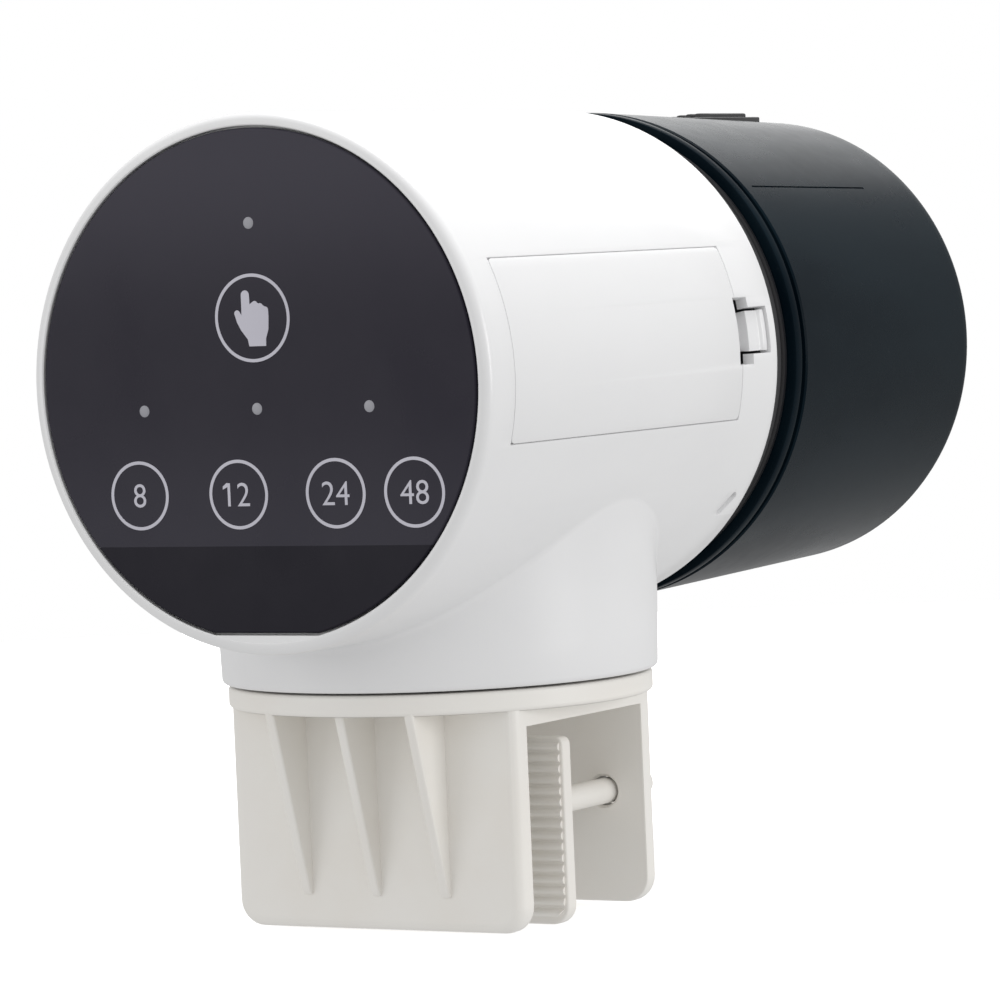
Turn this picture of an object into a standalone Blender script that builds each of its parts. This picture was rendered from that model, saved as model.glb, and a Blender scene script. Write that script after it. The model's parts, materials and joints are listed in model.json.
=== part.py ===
"""Automatic fish feeder: a cylindrical feeder head that swivels on a rim clamp.

World frame, in metres: +Z is up and the control panel faces -Y. The origin is on the inner face
of the clamp's fixed jaw, where it lies against the tank wall, midway across the jaw.
Each moving body hangs from an empty on its joint's axis, and its parts are placed from there.
"""

import math

import bmesh
import bpy
from mathutils import Matrix, Vector

MM = 0.001
GAP = 0.3 * MM  # left between two pieces that touch or fit

# Where the two main axes lie, from the origin on the fixed jaw.
NECK_Y = 15.4 * MM  # the vertical swivel axis
HEAD_Z = 60.0 * MM  # the horizontal axis of the head and the drum

# Feeder head, along Y from the swivel axis.
HEAD_RADIUS = 35.0 * MM
HEAD_WALL = 1.7 * MM
HEAD_FRONT = -42.7 * MM
HEAD_BACK = 35.7 * MM
PANEL_RADIUS = 33.0 * MM
PANEL_THICK = 1.1 * MM
PANEL_RECESS = 1.5 * MM
PANEL_CHORD = -32.05 * MM
LEDGE_THICK = 1.4 * MM
LEDGE_RADIUS = 29.5 * MM

# Neck below the head, along Z from the head's axis.
NECK_TOP_RADIUS = 30.1 * MM
NECK_RIM_RADIUS = 29.6 * MM
NECK_WALL = 1.8 * MM
NECK_RIM = -41.2 * MM
NECK_FLOOR = 2.2 * MM
SWIVEL_BOSS_RADIUS = 5.5 * MM

# Clamp, from the origin.
CLAMP_DISC_RADIUS = 28.8 * MM
CLAMP_TOP = 18.45 * MM
CLAMP_DISC_UNDER = 15.6 * MM
CLAMP_BLOCK_UNDER = 13.4 * MM
JAW_HALF_WIDTH = 22.4 * MM
JAW_THICK = 3.1 * MM
JAW_BOTTOM = -14.1 * MM
JAW_CORNER = 3.6 * MM
REAR_JAW = 30.75 * MM
RIB_THICK = 1.4 * MM
RIB_SPACING = 10.8 * MM
REAR_RIB_X = 11.6 * MM
RIB_FOOT = -9.2 * MM
RIB_TOP_REACH = 7.9 * MM
RIB_FOOT_REACH = 0.8 * MM

# Moving jaw, guide pins and clamp screw, from the origin.
PAD_FACE = 8.4 * MM
PAD_THICK = 2.7 * MM
PAD_TOP = 11.0 * MM
PAD_RIDGES = 16
PAD_RIDGE_HEIGHT = 0.5 * MM
GUIDE_X = 16.0 * MM
GUIDE_Z = 1.3 * MM
GUIDE_RADIUS = 1.75 * MM
GUIDE_END = 45.0 * MM
SCREW_RADIUS = 2.5 * MM
KNOB_RADIUS = 9.0 * MM
KNOB_FRONT = 46.5 * MM
KNOB_LENGTH = 10.0 * MM

# Battery door and bay. The bay is turned about the head's axis, so its own X axis runs outwards.
BAY_TURN = math.radians(-5.6)
DOOR_HALF_ANGLE = math.radians(20.0)
DOOR_FRONT = -36.2 * MM
DOOR_BACK = 25.3 * MM
LATCH_SLOT_HALF_ANGLE = math.radians(7.6)
LATCH_SLOT_FRONT = 24.6 * MM
LATCH_SLOT_BACK = 28.5 * MM
LATCH_SPRING_THICK = 0.9 * MM
LATCH_SPRING_DEPTH = 2.3 * MM
TAB_HALF_ANGLE = math.radians(4.7)
TAB_SIDE_GAP = math.radians(0.6)
TAB_RADII = (33.3 * MM, 34.2 * MM)
TAB_BACK = 33.2 * MM
MOULDING_SLOT_ANGLES = (math.radians(124.0), math.radians(127.5))
MOULDING_SLOT_ALONG = (29.5 * MM, 33.5 * MM)
CELL_RADIUS = 7.2 * MM
CELL_LENGTH = 50.5 * MM
CELL_OUT = 24.2 * MM
CELL_APART = 15.2 * MM
TRAY_OUT = (15.1 * MM, 28.4 * MM)
TRAY_HALF_WIDTH = 16.3 * MM
TRAY_WALL = 1.2 * MM
TRAY_ENDS = (-35.6 * MM, 25.5 * MM)

# Drive train, along Y from the swivel axis.
GEAR_MODULE = 0.6 * MM
PINION_TEETH = 12
IDLER_TEETH = 36
OUTPUT_TEETH = 44
TOOTH_SHARE = 0.40  # tooth thickness at the pitch circle, as a share of the pitch
IDLER_DIRECTION = math.radians(200.0)
MOTOR_DIRECTION = math.radians(100.0)
GEAR_PLATE = (19.6 * MM, 21.0 * MM)
BULKHEAD = (33.4 * MM, 35.2 * MM)
SHAFT_RADIUS = 3.0 * MM

# Hub and drum, along Y from the swivel axis.
HUB_PLATE = (36.1 * MM, 41.5 * MM)
HUB_RADIUS = 33.4 * MM
DRUM_FRONT = 41.8 * MM
DRUM_BACK = 101.3 * MM
DRUM_RADIUS = 34.7 * MM
DRUM_BACK_RADIUS = 33.1 * MM
DRUM_INNER = 32.4 * MM
DRUM_BACK_INNER = 30.7 * MM

# Feed window and its sliding gate: angles from the top, towards +X.
GATE_ANGLES = (math.radians(-28.0), math.radians(2.0))
GATE_TRAVEL = math.radians(26.0)
GATE_ALONG = (76.5 * MM, 98.0 * MM)
GATE_RADII = (32.65 * MM, 34.0 * MM)
WINDOW_ANGLES = (math.radians(-25.0), math.radians(-5.0))
WINDOW_ALONG = (80.0 * MM, 94.5 * MM)
POCKET_FLOOR = 32.35 * MM

ROUND = 44  # sides of the large round pieces
SMALL_ROUND = 20


# ---------------------------------------------------------------- building blocks


def clear_scene():
    for old in list(bpy.data.objects):
        bpy.data.objects.remove(old, do_unlink=True)


def finish(name, colour, roughness, metallic=0.0):
    made = bpy.data.materials.new(name)
    made.use_nodes = True
    shader = made.node_tree.nodes["Principled BSDF"]
    shader.inputs["Base Color"].default_value = (*colour, 1.0)
    shader.inputs["Roughness"].default_value = roughness
    shader.inputs["Metallic"].default_value = metallic
    return made


def pivot(name, location, parent=None):
    empty = bpy.data.objects.new(name, None)
    empty.empty_display_size = 5 * MM
    empty.location = location
    empty.parent = parent
    bpy.context.scene.collection.objects.link(empty)
    return empty


def piece(name, shape, made_of=None, parent=None, location=(0, 0, 0), turn_y=0.0):
    """An object from a bmesh; a piece made of nothing is a cutter or another helper."""
    mesh = bpy.data.meshes.new(name)
    shape.to_mesh(mesh)
    shape.free()
    obj = bpy.data.objects.new(name, mesh)
    obj.parent = parent
    obj.location = location
    obj.rotation_euler = (0, turn_y, 0)
    bpy.context.scene.collection.objects.link(obj)
    if made_of is None:
        obj.hide_render = True
        obj.display_type = "WIRE"
    else:
        mesh.materials.append(made_of)
        mesh.shade_smooth()
        mesh.set_sharp_from_angle(angle=math.radians(35))
    return obj


def boolean(obj, other, operation):
    change = obj.modifiers.new(f"{operation.lower()} {other.name}", "BOOLEAN")
    change.operation = operation
    change.object = other
    return obj


def cut(obj, name, shape, location=(0, 0, 0), turn_y=0.0):
    cutter = piece(name, shape, None, obj.parent, Vector(obj.location) + Vector(location), turn_y)
    return boolean(obj, cutter, "DIFFERENCE")


def join(obj, name, shape, location=(0, 0, 0), turn_y=0.0):
    other = piece(name, shape, None, obj.parent, Vector(obj.location) + Vector(location), turn_y)
    return boolean(obj, other, "UNION")


def use_manifold_solver(obj):
    """For a piece with ring-shaped flat faces, on which the exact solver leaves open edges."""
    for change in obj.modifiers:
        change.solver = "MANIFOLD"


def turned(profile, sides=ROUND, closed=False, axis="Y"):
    """A profile of (radius, along) points spun about the Y or Z axis.

    An open profile starts and ends on the axis; a closed one makes a ring.
    """
    shape = bmesh.new()
    points = []
    for radius, along in profile:
        place = (radius, along, 0) if axis == "Y" else (radius, 0, along)
        points.append(shape.verts.new(place))
    pairs = list(zip(points, points[1:]))
    if closed:
        pairs.append((points[-1], points[0]))
    edges = [shape.edges.new(pair) for pair in pairs]
    bmesh.ops.spin(
        shape,
        geom=points + edges,
        cent=(0, 0, 0),
        axis=(0, 1, 0) if axis == "Y" else (0, 0, 1),
        angle=2 * math.pi,
        steps=sides,
        use_merge=True,
        use_duplicate=False,
    )
    bmesh.ops.remove_doubles(shape, verts=shape.verts, dist=1e-7)
    bmesh.ops.recalc_face_normals(shape, faces=shape.faces)
    return shape


def rod(radius, start, end, sides=SMALL_ROUND, axis="Y"):
    return turned([(0, start), (radius, start), (radius, end), (0, end)], sides, axis=axis)


def tube(inner, outer, start, end, sides=ROUND, axis="Y"):
    profile = [(inner, start), (outer, start), (outer, end), (inner, end)]
    return turned(profile, sides, closed=True, axis=axis)


def box(low, high):
    shape = bmesh.new()
    bmesh.ops.create_cube(shape, size=1.0)
    size = [top - bottom for bottom, top in zip(low, high)]
    centre = [(top + bottom) / 2 for bottom, top in zip(low, high)]
    bmesh.ops.scale(shape, vec=size, verts=shape.verts)
    bmesh.ops.translate(shape, vec=centre, verts=shape.verts)
    return shape


def extruded(outline, start, end, axis="Y"):
    """A flat outline extruded: (x, z) points along Y, or (y, z) points along X."""
    shape = bmesh.new()
    if axis == "Y":
        points = [shape.verts.new((across, start, up)) for across, up in outline]
        step = (0, end - start, 0)
    else:
        points = [shape.verts.new((start, across, up)) for across, up in outline]
        step = (end - start, 0, 0)
    face = shape.faces.new(points)
    moved = bmesh.ops.extrude_face_region(shape, geom=[face])["geom"]
    bmesh.ops.translate(shape, vec=step, verts=[v for v in moved if isinstance(v, bmesh.types.BMVert)])
    bmesh.ops.recalc_face_normals(shape, faces=shape.faces)
    return shape


def polar(radius, angle):
    """(x, z) of a point at an angle from the top of the head, towards +X."""
    return radius * math.sin(angle), radius * math.cos(angle)


def sector(inner, outer, angles, along, steps=10):
    """A curved plate between two radii and two angles from the top."""
    sweep = [angles[0] + (angles[1] - angles[0]) * step / steps for step in range(steps + 1)]
    outline = [polar(outer, angle) for angle in sweep]
    outline += [polar(inner, angle) for angle in reversed(sweep)]
    return extruded(outline, *along)


def helix(name, radius, wire, start, end, turns, made_of, parent, location, turn_y=0.0):
    """A coil spring of round wire about its own Y axis."""
    curve = bpy.data.curves.new(name, "CURVE")
    curve.dimensions = "3D"
    curve.bevel_depth = wire
    curve.bevel_resolution = 1
    curve.use_fill_caps = True
    per_turn = 8
    count = turns * per_turn + 1
    line = curve.splines.new("POLY")
    line.points.add(count - 1)
    for index in range(count):
        angle = 2 * math.pi * index / per_turn
        along = start + (end - start) * index / (count - 1)
        line.points[index].co = (radius * math.cos(angle), along, radius * math.sin(angle), 1)
    curve.materials.append(made_of)
    obj = bpy.data.objects.new(name, curve)
    obj.parent = parent
    obj.location = location
    obj.rotation_euler = (0, turn_y, 0)
    bpy.context.scene.collection.objects.link(obj)
    return obj


def lead(name, route, made_of, parent, radius=0.6 * MM):
    """An insulated wire through a few points, rounded by a spline."""
    curve = bpy.data.curves.new(name, "CURVE")
    curve.dimensions = "3D"
    curve.bevel_depth = radius
    curve.bevel_resolution = 1
    curve.use_fill_caps = True
    line = curve.splines.new("POLY")
    steps = 3
    smooth = []
    ends = [route[0]] + list(route) + [route[-1]]
    for index in range(len(route) - 1):
        before, here, there, after = (Vector(point) for point in ends[index : index + 4])
        for step in range(steps):
            t = step / steps
            bend = 2 * here + (there - before) * t
            bend += (2 * before - 5 * here + 4 * there - after) * t * t
            bend += (3 * here - before - 3 * there + after) * t * t * t
            smooth.append(bend / 2)
    smooth.append(Vector(route[-1]))
    line.points.add(len(smooth) - 1)
    for point, place in zip(line.points, smooth):
        point.co = (*(place * MM), 1)
    curve.materials.append(made_of)
    obj = bpy.data.objects.new(name, curve)
    obj.parent = parent
    bpy.context.scene.collection.objects.link(obj)
    return obj


def gear_outline(teeth, phase=0.0):
    """The (x, z) outline of a spur gear with a tooth centred at the phase angle.

    Each flank has a point at the root, the pitch circle and the tip.
    """
    pitch_radius = GEAR_MODULE * teeth / 2
    heights = (-1.15, 0.0, 0.9)
    widths = (0.62, TOOTH_SHARE, 0.20)
    pitch_angle = 2 * math.pi / teeth
    outline = []
    for tooth in range(teeth):
        centre = phase + tooth * pitch_angle
        flank = []
        for height, share in zip(heights, widths):
            radius = pitch_radius + height * GEAR_MODULE
            half = share * pitch_angle / 2 * pitch_radius / radius
            flank.append((radius, half))
        rising = [(radius, centre - half) for radius, half in flank]
        falling = [(radius, centre + half) for radius, half in reversed(flank)]
        outline += [(r * math.cos(a), r * math.sin(a)) for r, a in rising + falling]
    return outline


# ---------------------------------------------------------------- clamp


def rib(x, face, outwards):
    """A triangular web between a jaw's outer face and the disc above it."""
    top = face + outwards * RIB_TOP_REACH
    foot = face + outwards * RIB_FOOT_REACH
    root = face - outwards * 1 * MM
    under = CLAMP_DISC_UNDER + 1 * MM
    outline = [(root, RIB_FOOT), (foot, RIB_FOOT), (top, CLAMP_DISC_UNDER), (top, under), (root, under)]
    return extruded(outline, x - RIB_THICK / 2, x + RIB_THICK / 2, axis="X")


def jaw_outline(front, rear):
    """A block with the rounded lower corners that both jaws share."""
    centre_x = JAW_HALF_WIDTH - JAW_CORNER
    centre_z = JAW_BOTTOM + JAW_CORNER
    steps = 5
    outline = [(-JAW_HALF_WIDTH, CLAMP_TOP), (-JAW_HALF_WIDTH, centre_z)]
    for side in (-1, 1):
        for step in range(1, steps):
            angle = math.pi / 2 * (step / steps if side > 0 else 1 - step / steps)
            across = side * (centre_x + JAW_CORNER * math.sin(angle))
            outline.append((across, centre_z - JAW_CORNER * math.cos(angle)))
    outline += [(JAW_HALF_WIDTH, centre_z), (JAW_HALF_WIDTH, CLAMP_TOP)]
    return extruded(outline, front - 1 * MM, rear + 1 * MM)


def clamp_bracket(ivory):
    """The yoke: a round top, a fixed front jaw and a rear jaw that holds the screw."""
    front = -JAW_THICK
    rear = REAR_JAW + JAW_THICK
    outline = [
        (front, JAW_BOTTOM),
        (0, JAW_BOTTOM),
        (0, CLAMP_BLOCK_UNDER),
        (REAR_JAW, CLAMP_BLOCK_UNDER),
        (REAR_JAW, JAW_BOTTOM),
        (rear, JAW_BOTTOM),
        (rear, CLAMP_TOP - 1 * MM),
        (front, CLAMP_TOP - 1 * MM),
    ]
    shape = extruded(outline, -JAW_HALF_WIDTH, JAW_HALF_WIDTH, axis="X")
    bracket = piece("clamp_bracket", shape, ivory)
    boolean(bracket, piece("jaw_outline", jaw_outline(front, rear)), "INTERSECT")
    disc = rod(CLAMP_DISC_RADIUS, CLAMP_DISC_UNDER, CLAMP_TOP, ROUND, axis="Z")
    join(bracket, "clamp_disc", disc, (0, NECK_Y, 0))
    for step in (-1, 0, 1):
        join(bracket, f"front_rib_{step + 2}", rib(step * RIB_SPACING, -JAW_THICK, -1))
    for side in (-1, 1):
        join(bracket, f"rear_rib_{side + 2}", rib(side * REAR_RIB_X, rear, 1))
        hole = rod(GUIDE_RADIUS + GAP, REAR_JAW - 1 * MM, rear + 1 * MM)
        cut(bracket, f"guide_hole_{side + 2}", hole, (side * GUIDE_X, 0, GUIDE_Z))
    nut_hole = extruded(hexagon(4.0 * MM + GAP), REAR_JAW + 0.8 * MM, rear + 1 * MM)
    cut(bracket, "nut_pocket", nut_hole, (0, 0, GUIDE_Z))
    cut(bracket, "screw_hole", rod(SCREW_RADIUS + 0.5 * MM, REAR_JAW - 1 * MM, rear), (0, 0, GUIDE_Z))
    bolt_hole = rod(2.4 * MM, CLAMP_BLOCK_UNDER - 1 * MM, CLAMP_TOP + 1 * MM, axis="Z")
    cut(bracket, "bolt_hole", bolt_hole, (0, NECK_Y, 0))
    head_recess = rod(5.6 * MM, CLAMP_BLOCK_UNDER - 1 * MM, CLAMP_BLOCK_UNDER + 2.7 * MM, axis="Z")
    cut(bracket, "bolt_head_recess", head_recess, (0, NECK_Y, 0))
    return bracket


def hexagon(across_half):
    """The (x, z) corners of a hexagon, given half the distance across its flats."""
    corner = across_half / math.cos(math.pi / 6)
    return [(corner * math.cos(a), corner * math.sin(a)) for a in (k * math.pi / 3 for k in range(6))]


def clamp_nut(brass):
    nut = piece("clamp_nut", extruded(hexagon(4.0 * MM), 31.9 * MM, 33.7 * MM), brass, None, (0, 0, GUIDE_Z))
    cut(nut, "nut_bore", rod(SCREW_RADIUS + GAP, 31 * MM, 35 * MM), (0, 0, 0))
    return nut


def moving_jaw(jaw, ivory):
    """The ridged pad that presses on the tank wall, with its two guide pins."""
    height = PAD_TOP - JAW_BOTTOM
    pitch = height / PAD_RIDGES
    outline = [(PAD_FACE + PAD_THICK, PAD_TOP), (PAD_FACE + PAD_THICK, JAW_BOTTOM)]
    for ridge in range(PAD_RIDGES):
        low = JAW_BOTTOM + ridge * pitch
        outline.append((PAD_FACE + PAD_RIDGE_HEIGHT, low))
        outline.append((PAD_FACE, low + 0.3 * pitch))
        outline.append((PAD_FACE, low + 0.7 * pitch))
    outline.append((PAD_FACE + PAD_RIDGE_HEIGHT, PAD_TOP))
    shape = extruded(outline, -JAW_HALF_WIDTH, JAW_HALF_WIDTH, axis="X")
    pad = piece("moving_jaw", shape, ivory, jaw)
    for side in (-1, 1):
        boss = rod(GUIDE_RADIUS + 1.0 * MM, PAD_FACE + PAD_THICK - 1 * MM, 12.3 * MM)
        join(pad, f"pin_boss_{side + 2}", boss, (side * GUIDE_X, 0, GUIDE_Z))
        socket = rod(GUIDE_RADIUS + GAP, PAD_FACE + 1.2 * MM, 13 * MM)
        cut(pad, f"pin_socket_{side + 2}", socket, (side * GUIDE_X, 0, GUIDE_Z))
        name = "guide_pin_left" if side < 0 else "guide_pin_right"
        pin = rod(GUIDE_RADIUS, PAD_FACE + 1.5 * MM, GUIDE_END, 16)
        piece(name, pin, ivory, jaw, (side * GUIDE_X, 0, GUIDE_Z))
    boss = tube(2.1 * MM, 4.6 * MM, PAD_FACE + PAD_THICK - 1 * MM, 13.9 * MM, SMALL_ROUND)
    join(pad, "screw_boss", boss, (0, 0, GUIDE_Z))
    socket = rod(2.1 * MM, PAD_FACE + 1.2 * MM, 14.5 * MM)
    cut(pad, "screw_socket", socket, (0, 0, GUIDE_Z))
    use_manifold_solver(pad)
    return pad


def clamp_screw(screw, steel, ivory):
    """The screw and its knurled knob, on an axis through the rear jaw."""
    tip = PAD_FACE + 1.5 * MM
    profile = [
        (0, tip),
        (1.8 * MM, tip),
        (1.8 * MM, 14.2 * MM),
        (SCREW_RADIUS, 14.9 * MM),
        (SCREW_RADIUS, KNOB_FRONT + 6 * MM),
        (0, KNOB_FRONT + 6 * MM),
    ]
    piece("clamp_screw", turned(profile, SMALL_ROUND), steel, screw)
    lobes = 12
    steps = lobes * 4
    outline = []
    for step in range(steps):
        angle = 2 * math.pi * step / steps
        radius = KNOB_RADIUS - 0.6 * MM * (0.5 - 0.5 * math.cos(lobes * angle))
        outline.append((radius * math.cos(angle), radius * math.sin(angle)))
    knob = piece("clamp_knob", extruded(outline, KNOB_FRONT, KNOB_FRONT + KNOB_LENGTH), ivory, screw)
    cut(knob, "knob_bore", rod(SCREW_RADIUS + GAP, KNOB_FRONT - 1 * MM, KNOB_FRONT + 6.3 * MM))
    return knob


# ---------------------------------------------------------------- feeder head


def main_housing(head, white):
    """The head's shell: a tube with a ledge behind the panel, and the neck it swivels on."""
    wall = HEAD_RADIUS - HEAD_WALL
    housing = piece("main_housing", rod(HEAD_RADIUS, HEAD_FRONT, HEAD_BACK, ROUND), white, head)
    neck = [(0, NECK_RIM), (NECK_RIM_RADIUS, NECK_RIM), (NECK_TOP_RADIUS, 0), (0, 0)]
    join(housing, "neck", turned(neck, ROUND, axis="Z"))
    inner_floor = NECK_RIM + NECK_FLOOR
    inside = [
        (0, inner_floor),
        (NECK_RIM_RADIUS - NECK_WALL, inner_floor),
        (NECK_TOP_RADIUS - NECK_WALL, -2 * MM),
        (0, -2 * MM),
    ]
    cut(housing, "neck_inside", turned(inside, ROUND, axis="Z"))
    back_ledge = HEAD_FRONT + PANEL_RECESS + LEDGE_THICK
    cut(housing, "head_inside", rod(wall, back_ledge, HEAD_BACK + 5 * MM, ROUND))
    cut(housing, "front_opening", rod(LEDGE_RADIUS, HEAD_FRONT - 1 * MM, back_ledge + 1 * MM, ROUND))
    recess = panel_shape(PANEL_RADIUS + GAP, HEAD_FRONT - 1 * MM, HEAD_FRONT + PANEL_RECESS, -GAP)
    cut(housing, "panel_recess", recess)
    boss = rod(SWIVEL_BOSS_RADIUS, NECK_RIM + 1 * MM, NECK_RIM + 14 * MM, SMALL_ROUND, axis="Z")
    join(housing, "swivel_boss", boss)
    cut(housing, "swivel_bore", rod(2.1 * MM, NECK_RIM - 1 * MM, NECK_RIM + 15 * MM, axis="Z"))
    for index, angle in enumerate(screw_angles()):
        x, z = polar(wall - 2.6 * MM, angle)
        post = rod(3.1 * MM, GEAR_PLATE[1] + GAP, BULKHEAD[0] - GAP, 12)
        join(housing, f"screw_post_{index}", post, (x, 0, z))
        cut(housing, f"post_bore_{index}", rod(1.4 * MM, 24 * MM, BULKHEAD[0] + 1 * MM, 12), (x, 0, z))
    cut_door_opening(housing, wall)
    return housing


def cut_door_opening(housing, wall):
    """The battery opening, the latch's finger recess and the small moulding slot behind them."""
    middle = math.pi / 2
    inner, outer = wall - 2 * MM, HEAD_RADIUS + 2 * MM
    opening = (middle - DOOR_HALF_ANGLE, middle + DOOR_HALF_ANGLE)
    cut(housing, "door_opening", sector(inner, outer, opening, (DOOR_FRONT, DOOR_BACK)), turn_y=BAY_TURN)
    notch = (middle - LATCH_SLOT_HALF_ANGLE, middle + LATCH_SLOT_HALF_ANGLE)
    notch_along = (DOOR_BACK - 1 * MM, LATCH_SLOT_BACK)
    cut(housing, "latch_slot", sector(inner, outer, notch, notch_along, 4), turn_y=BAY_TURN)
    recess = (middle - TAB_HALF_ANGLE - TAB_SIDE_GAP, middle + TAB_HALF_ANGLE + TAB_SIDE_GAP)
    recess_along = (LATCH_SLOT_BACK - 1 * MM, TAB_BACK + 0.4 * MM)
    cut(housing, "latch_recess", sector(inner, outer, recess, recess_along, 3), turn_y=BAY_TURN)
    cut(housing, "moulding_slot", sector(inner, outer, MOULDING_SLOT_ANGLES, MOULDING_SLOT_ALONG, 2))
    use_manifold_solver(housing)


def screw_angles():
    """Where the rear bulkhead's screws sit, from the top towards +X."""
    return [math.radians(degrees) for degrees in (-140.0, -20.0, 140.0)]


def panel_shape(radius, front, back, lower_by=0.0):
    """A disc with a flat along the bottom."""
    chord = PANEL_CHORD + lower_by
    edge = math.acos(-chord / radius)
    count = ROUND
    span = 2 * math.pi - 2 * edge
    angles = [math.pi + edge + span * step / count for step in range(count + 1)]
    return extruded([polar(radius, angle) for angle in angles], front, back)


def touch_panel(head, black):
    front = HEAD_FRONT + 0.1 * MM
    return piece("touch_panel", panel_shape(PANEL_RADIUS, front, front + PANEL_THICK), black, head)


def control_electronics(head, finishes):
    """The board behind the panel, its chip, lights and touch springs, and the drum's sensor."""
    front = -38.0 * MM
    board = piece("control_board", rod(28.8 * MM, front, front + 1.2 * MM, 36), finishes["board"], head)
    cut(board, "board_notch", box((-6 * MM, -40 * MM, -30 * MM), (6 * MM, -35 * MM, -26 * MM)))
    chip = box((-12 * MM, -36.5 * MM, 2 * MM), (-4 * MM, -35.3 * MM, 10 * MM))
    piece("controller_chip", chip, finishes["black"], head)
    light = ((-0.8 * MM, front - 1.3 * MM, -0.8 * MM), (0.8 * MM, front - GAP, 0.8 * MM))
    for index, x in enumerate((-18.7, -3.3, 11.5, 23.3)):
        place = (x * MM, 0, -14.1 * MM)
        piece(f"interval_led_{index + 1}", box(*light), finishes["led"], head, place)
    for index, x in enumerate((-17.4, 0.0, 17.4)):
        place = (x * MM, 0, -3.1 * MM)
        piece(f"portion_led_{index + 1}", box(*light), finishes["led"], head, place)
    piece("power_led", box(*light), finishes["led"], head, (0, 0, 20.8 * MM))
    for name, place in (("touch_spring_feed", (0, 0, 8.6 * MM)), ("touch_spring_set", (0, 0, -24 * MM))):
        ends = (front - 0.6 * MM, HEAD_FRONT + 2.1 * MM)
        helix(name, 2.2 * MM, 0.25 * MM, ends[0], ends[1], 3, finishes["steel"], head, place)
    sensor = box((-2.5 * MM, 31.6 * MM, -13.2 * MM), (2.5 * MM, 33.1 * MM, -11.2 * MM))
    return piece("reed_sensor", sensor, finishes["black"], head, (0, 0, -7 * MM))


def battery_bay(head, finishes):
    """The tray, its contacts and springs, and the two cells in it."""
    low, high = TRAY_OUT
    front, back = TRAY_ENDS
    half = TRAY_HALF_WIDTH
    shape = box((low, front, -half), (high, back, half))
    tray = piece("battery_tray", shape, finishes["dark"], head, turn_y=BAY_TURN)
    inside_low = (low + TRAY_WALL, front + TRAY_WALL, -half + TRAY_WALL)
    inside_high = (high + 1 * MM, back - TRAY_WALL, half - TRAY_WALL)
    cut(tray, "tray_inside", box(inside_low, inside_high), turn_y=BAY_TURN)

    def contact(name, along, across):
        shape = box((18 * MM, along, across[0]), (27.5 * MM, along + 0.4 * MM, across[1]))
        piece(name, shape, finishes["steel"], head, turn_y=BAY_TURN)

    contact("contact_bridge", -34.1 * MM, (-14 * MM, 14 * MM))
    contact("contact_positive", 23.6 * MM, (1.5 * MM, 14 * MM))
    contact("contact_negative", 23.6 * MM, (-14 * MM, -1.5 * MM))
    cells = (
        ("battery_cell_1", CELL_APART / 2, -27.4 * MM, 1),
        ("battery_cell_2", -CELL_APART / 2, 17.3 * MM, -1),
    )
    for name, across, base, forwards in cells:
        x, z = out_and_across(CELL_OUT, across)
        piece(name, battery_cell(base, forwards), finishes["cell"], head, (x, 0, z))
    for name, across, ends in (
        ("battery_spring_1", CELL_APART / 2, (-33.1 * MM, -28.1 * MM)),
        ("battery_spring_2", -CELL_APART / 2, (18.0 * MM, 23.0 * MM)),
    ):
        x, z = out_and_across(CELL_OUT - 1 * MM, across)
        helix(name, 2.6 * MM, 0.35 * MM, ends[0], ends[1], 3, finishes["steel"], head, (x, 0, z))
    return tray


def out_and_across(out, across):
    """(x, z) of a place in the turned battery bay."""
    place = Matrix.Rotation(BAY_TURN, 3, "Y") @ Vector((out, 0, across))
    return place.x, place.z


def battery_cell(base, forwards):
    """A dry cell, from the flat end to the button end."""
    end = base + forwards * CELL_LENGTH
    shoulder = end - forwards * 1.4 * MM
    profile = [(0, base), (CELL_RADIUS, base), (CELL_RADIUS, shoulder), (2.7 * MM, shoulder)]
    profile += [(2.7 * MM, end), (0, end)]
    return turned(profile, 24)


def battery_door(door, white, hinge):
    """The curved door, its two hooks at the front and its snap latch at the back."""
    middle = math.pi / 2
    half = DOOR_HALF_ANGLE - GAP / HEAD_RADIUS
    along = (DOOR_FRONT + GAP, DOOR_BACK - GAP)
    back_to_axis = -hinge
    shape = sector(HEAD_RADIUS - HEAD_WALL, HEAD_RADIUS, (middle - half, middle + half), along)
    panel = piece("battery_door", shape, white, door, back_to_axis, BAY_TURN)
    notch = (middle - LATCH_SLOT_HALF_ANGLE, middle + LATCH_SLOT_HALF_ANGLE)
    notch_along = (LATCH_SLOT_FRONT, DOOR_BACK + 1 * MM)
    cut(panel, "door_notch", sector(30 * MM, 40 * MM, notch, notch_along, 4), turn_y=BAY_TURN)
    for side in (-1, 1):
        across = side * 6 * MM
        low = (30.9 * MM, DOOR_FRONT - 1.4 * MM, across - 2 * MM)
        high = (32.1 * MM, DOOR_FRONT + 3 * MM, across + 2 * MM)
        join(panel, f"door_hook_{side + 2}", box(low, high), turn_y=BAY_TURN)
        low = (31.6 * MM, DOOR_FRONT + 0.6 * MM, across - 2 * MM)
        high = (33.6 * MM, DOOR_FRONT + 3 * MM, across + 2 * MM)
        join(panel, f"door_hook_root_{side + 2}", box(low, high), turn_y=BAY_TURN)
    for name, radii, along in latch_spring_parts():
        join(panel, name, sector(*radii, tab_angles(middle), along, 3), turn_y=BAY_TURN)
    return panel


def tab_angles(middle):
    return middle - TAB_HALF_ANGLE, middle + TAB_HALF_ANGLE


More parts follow.
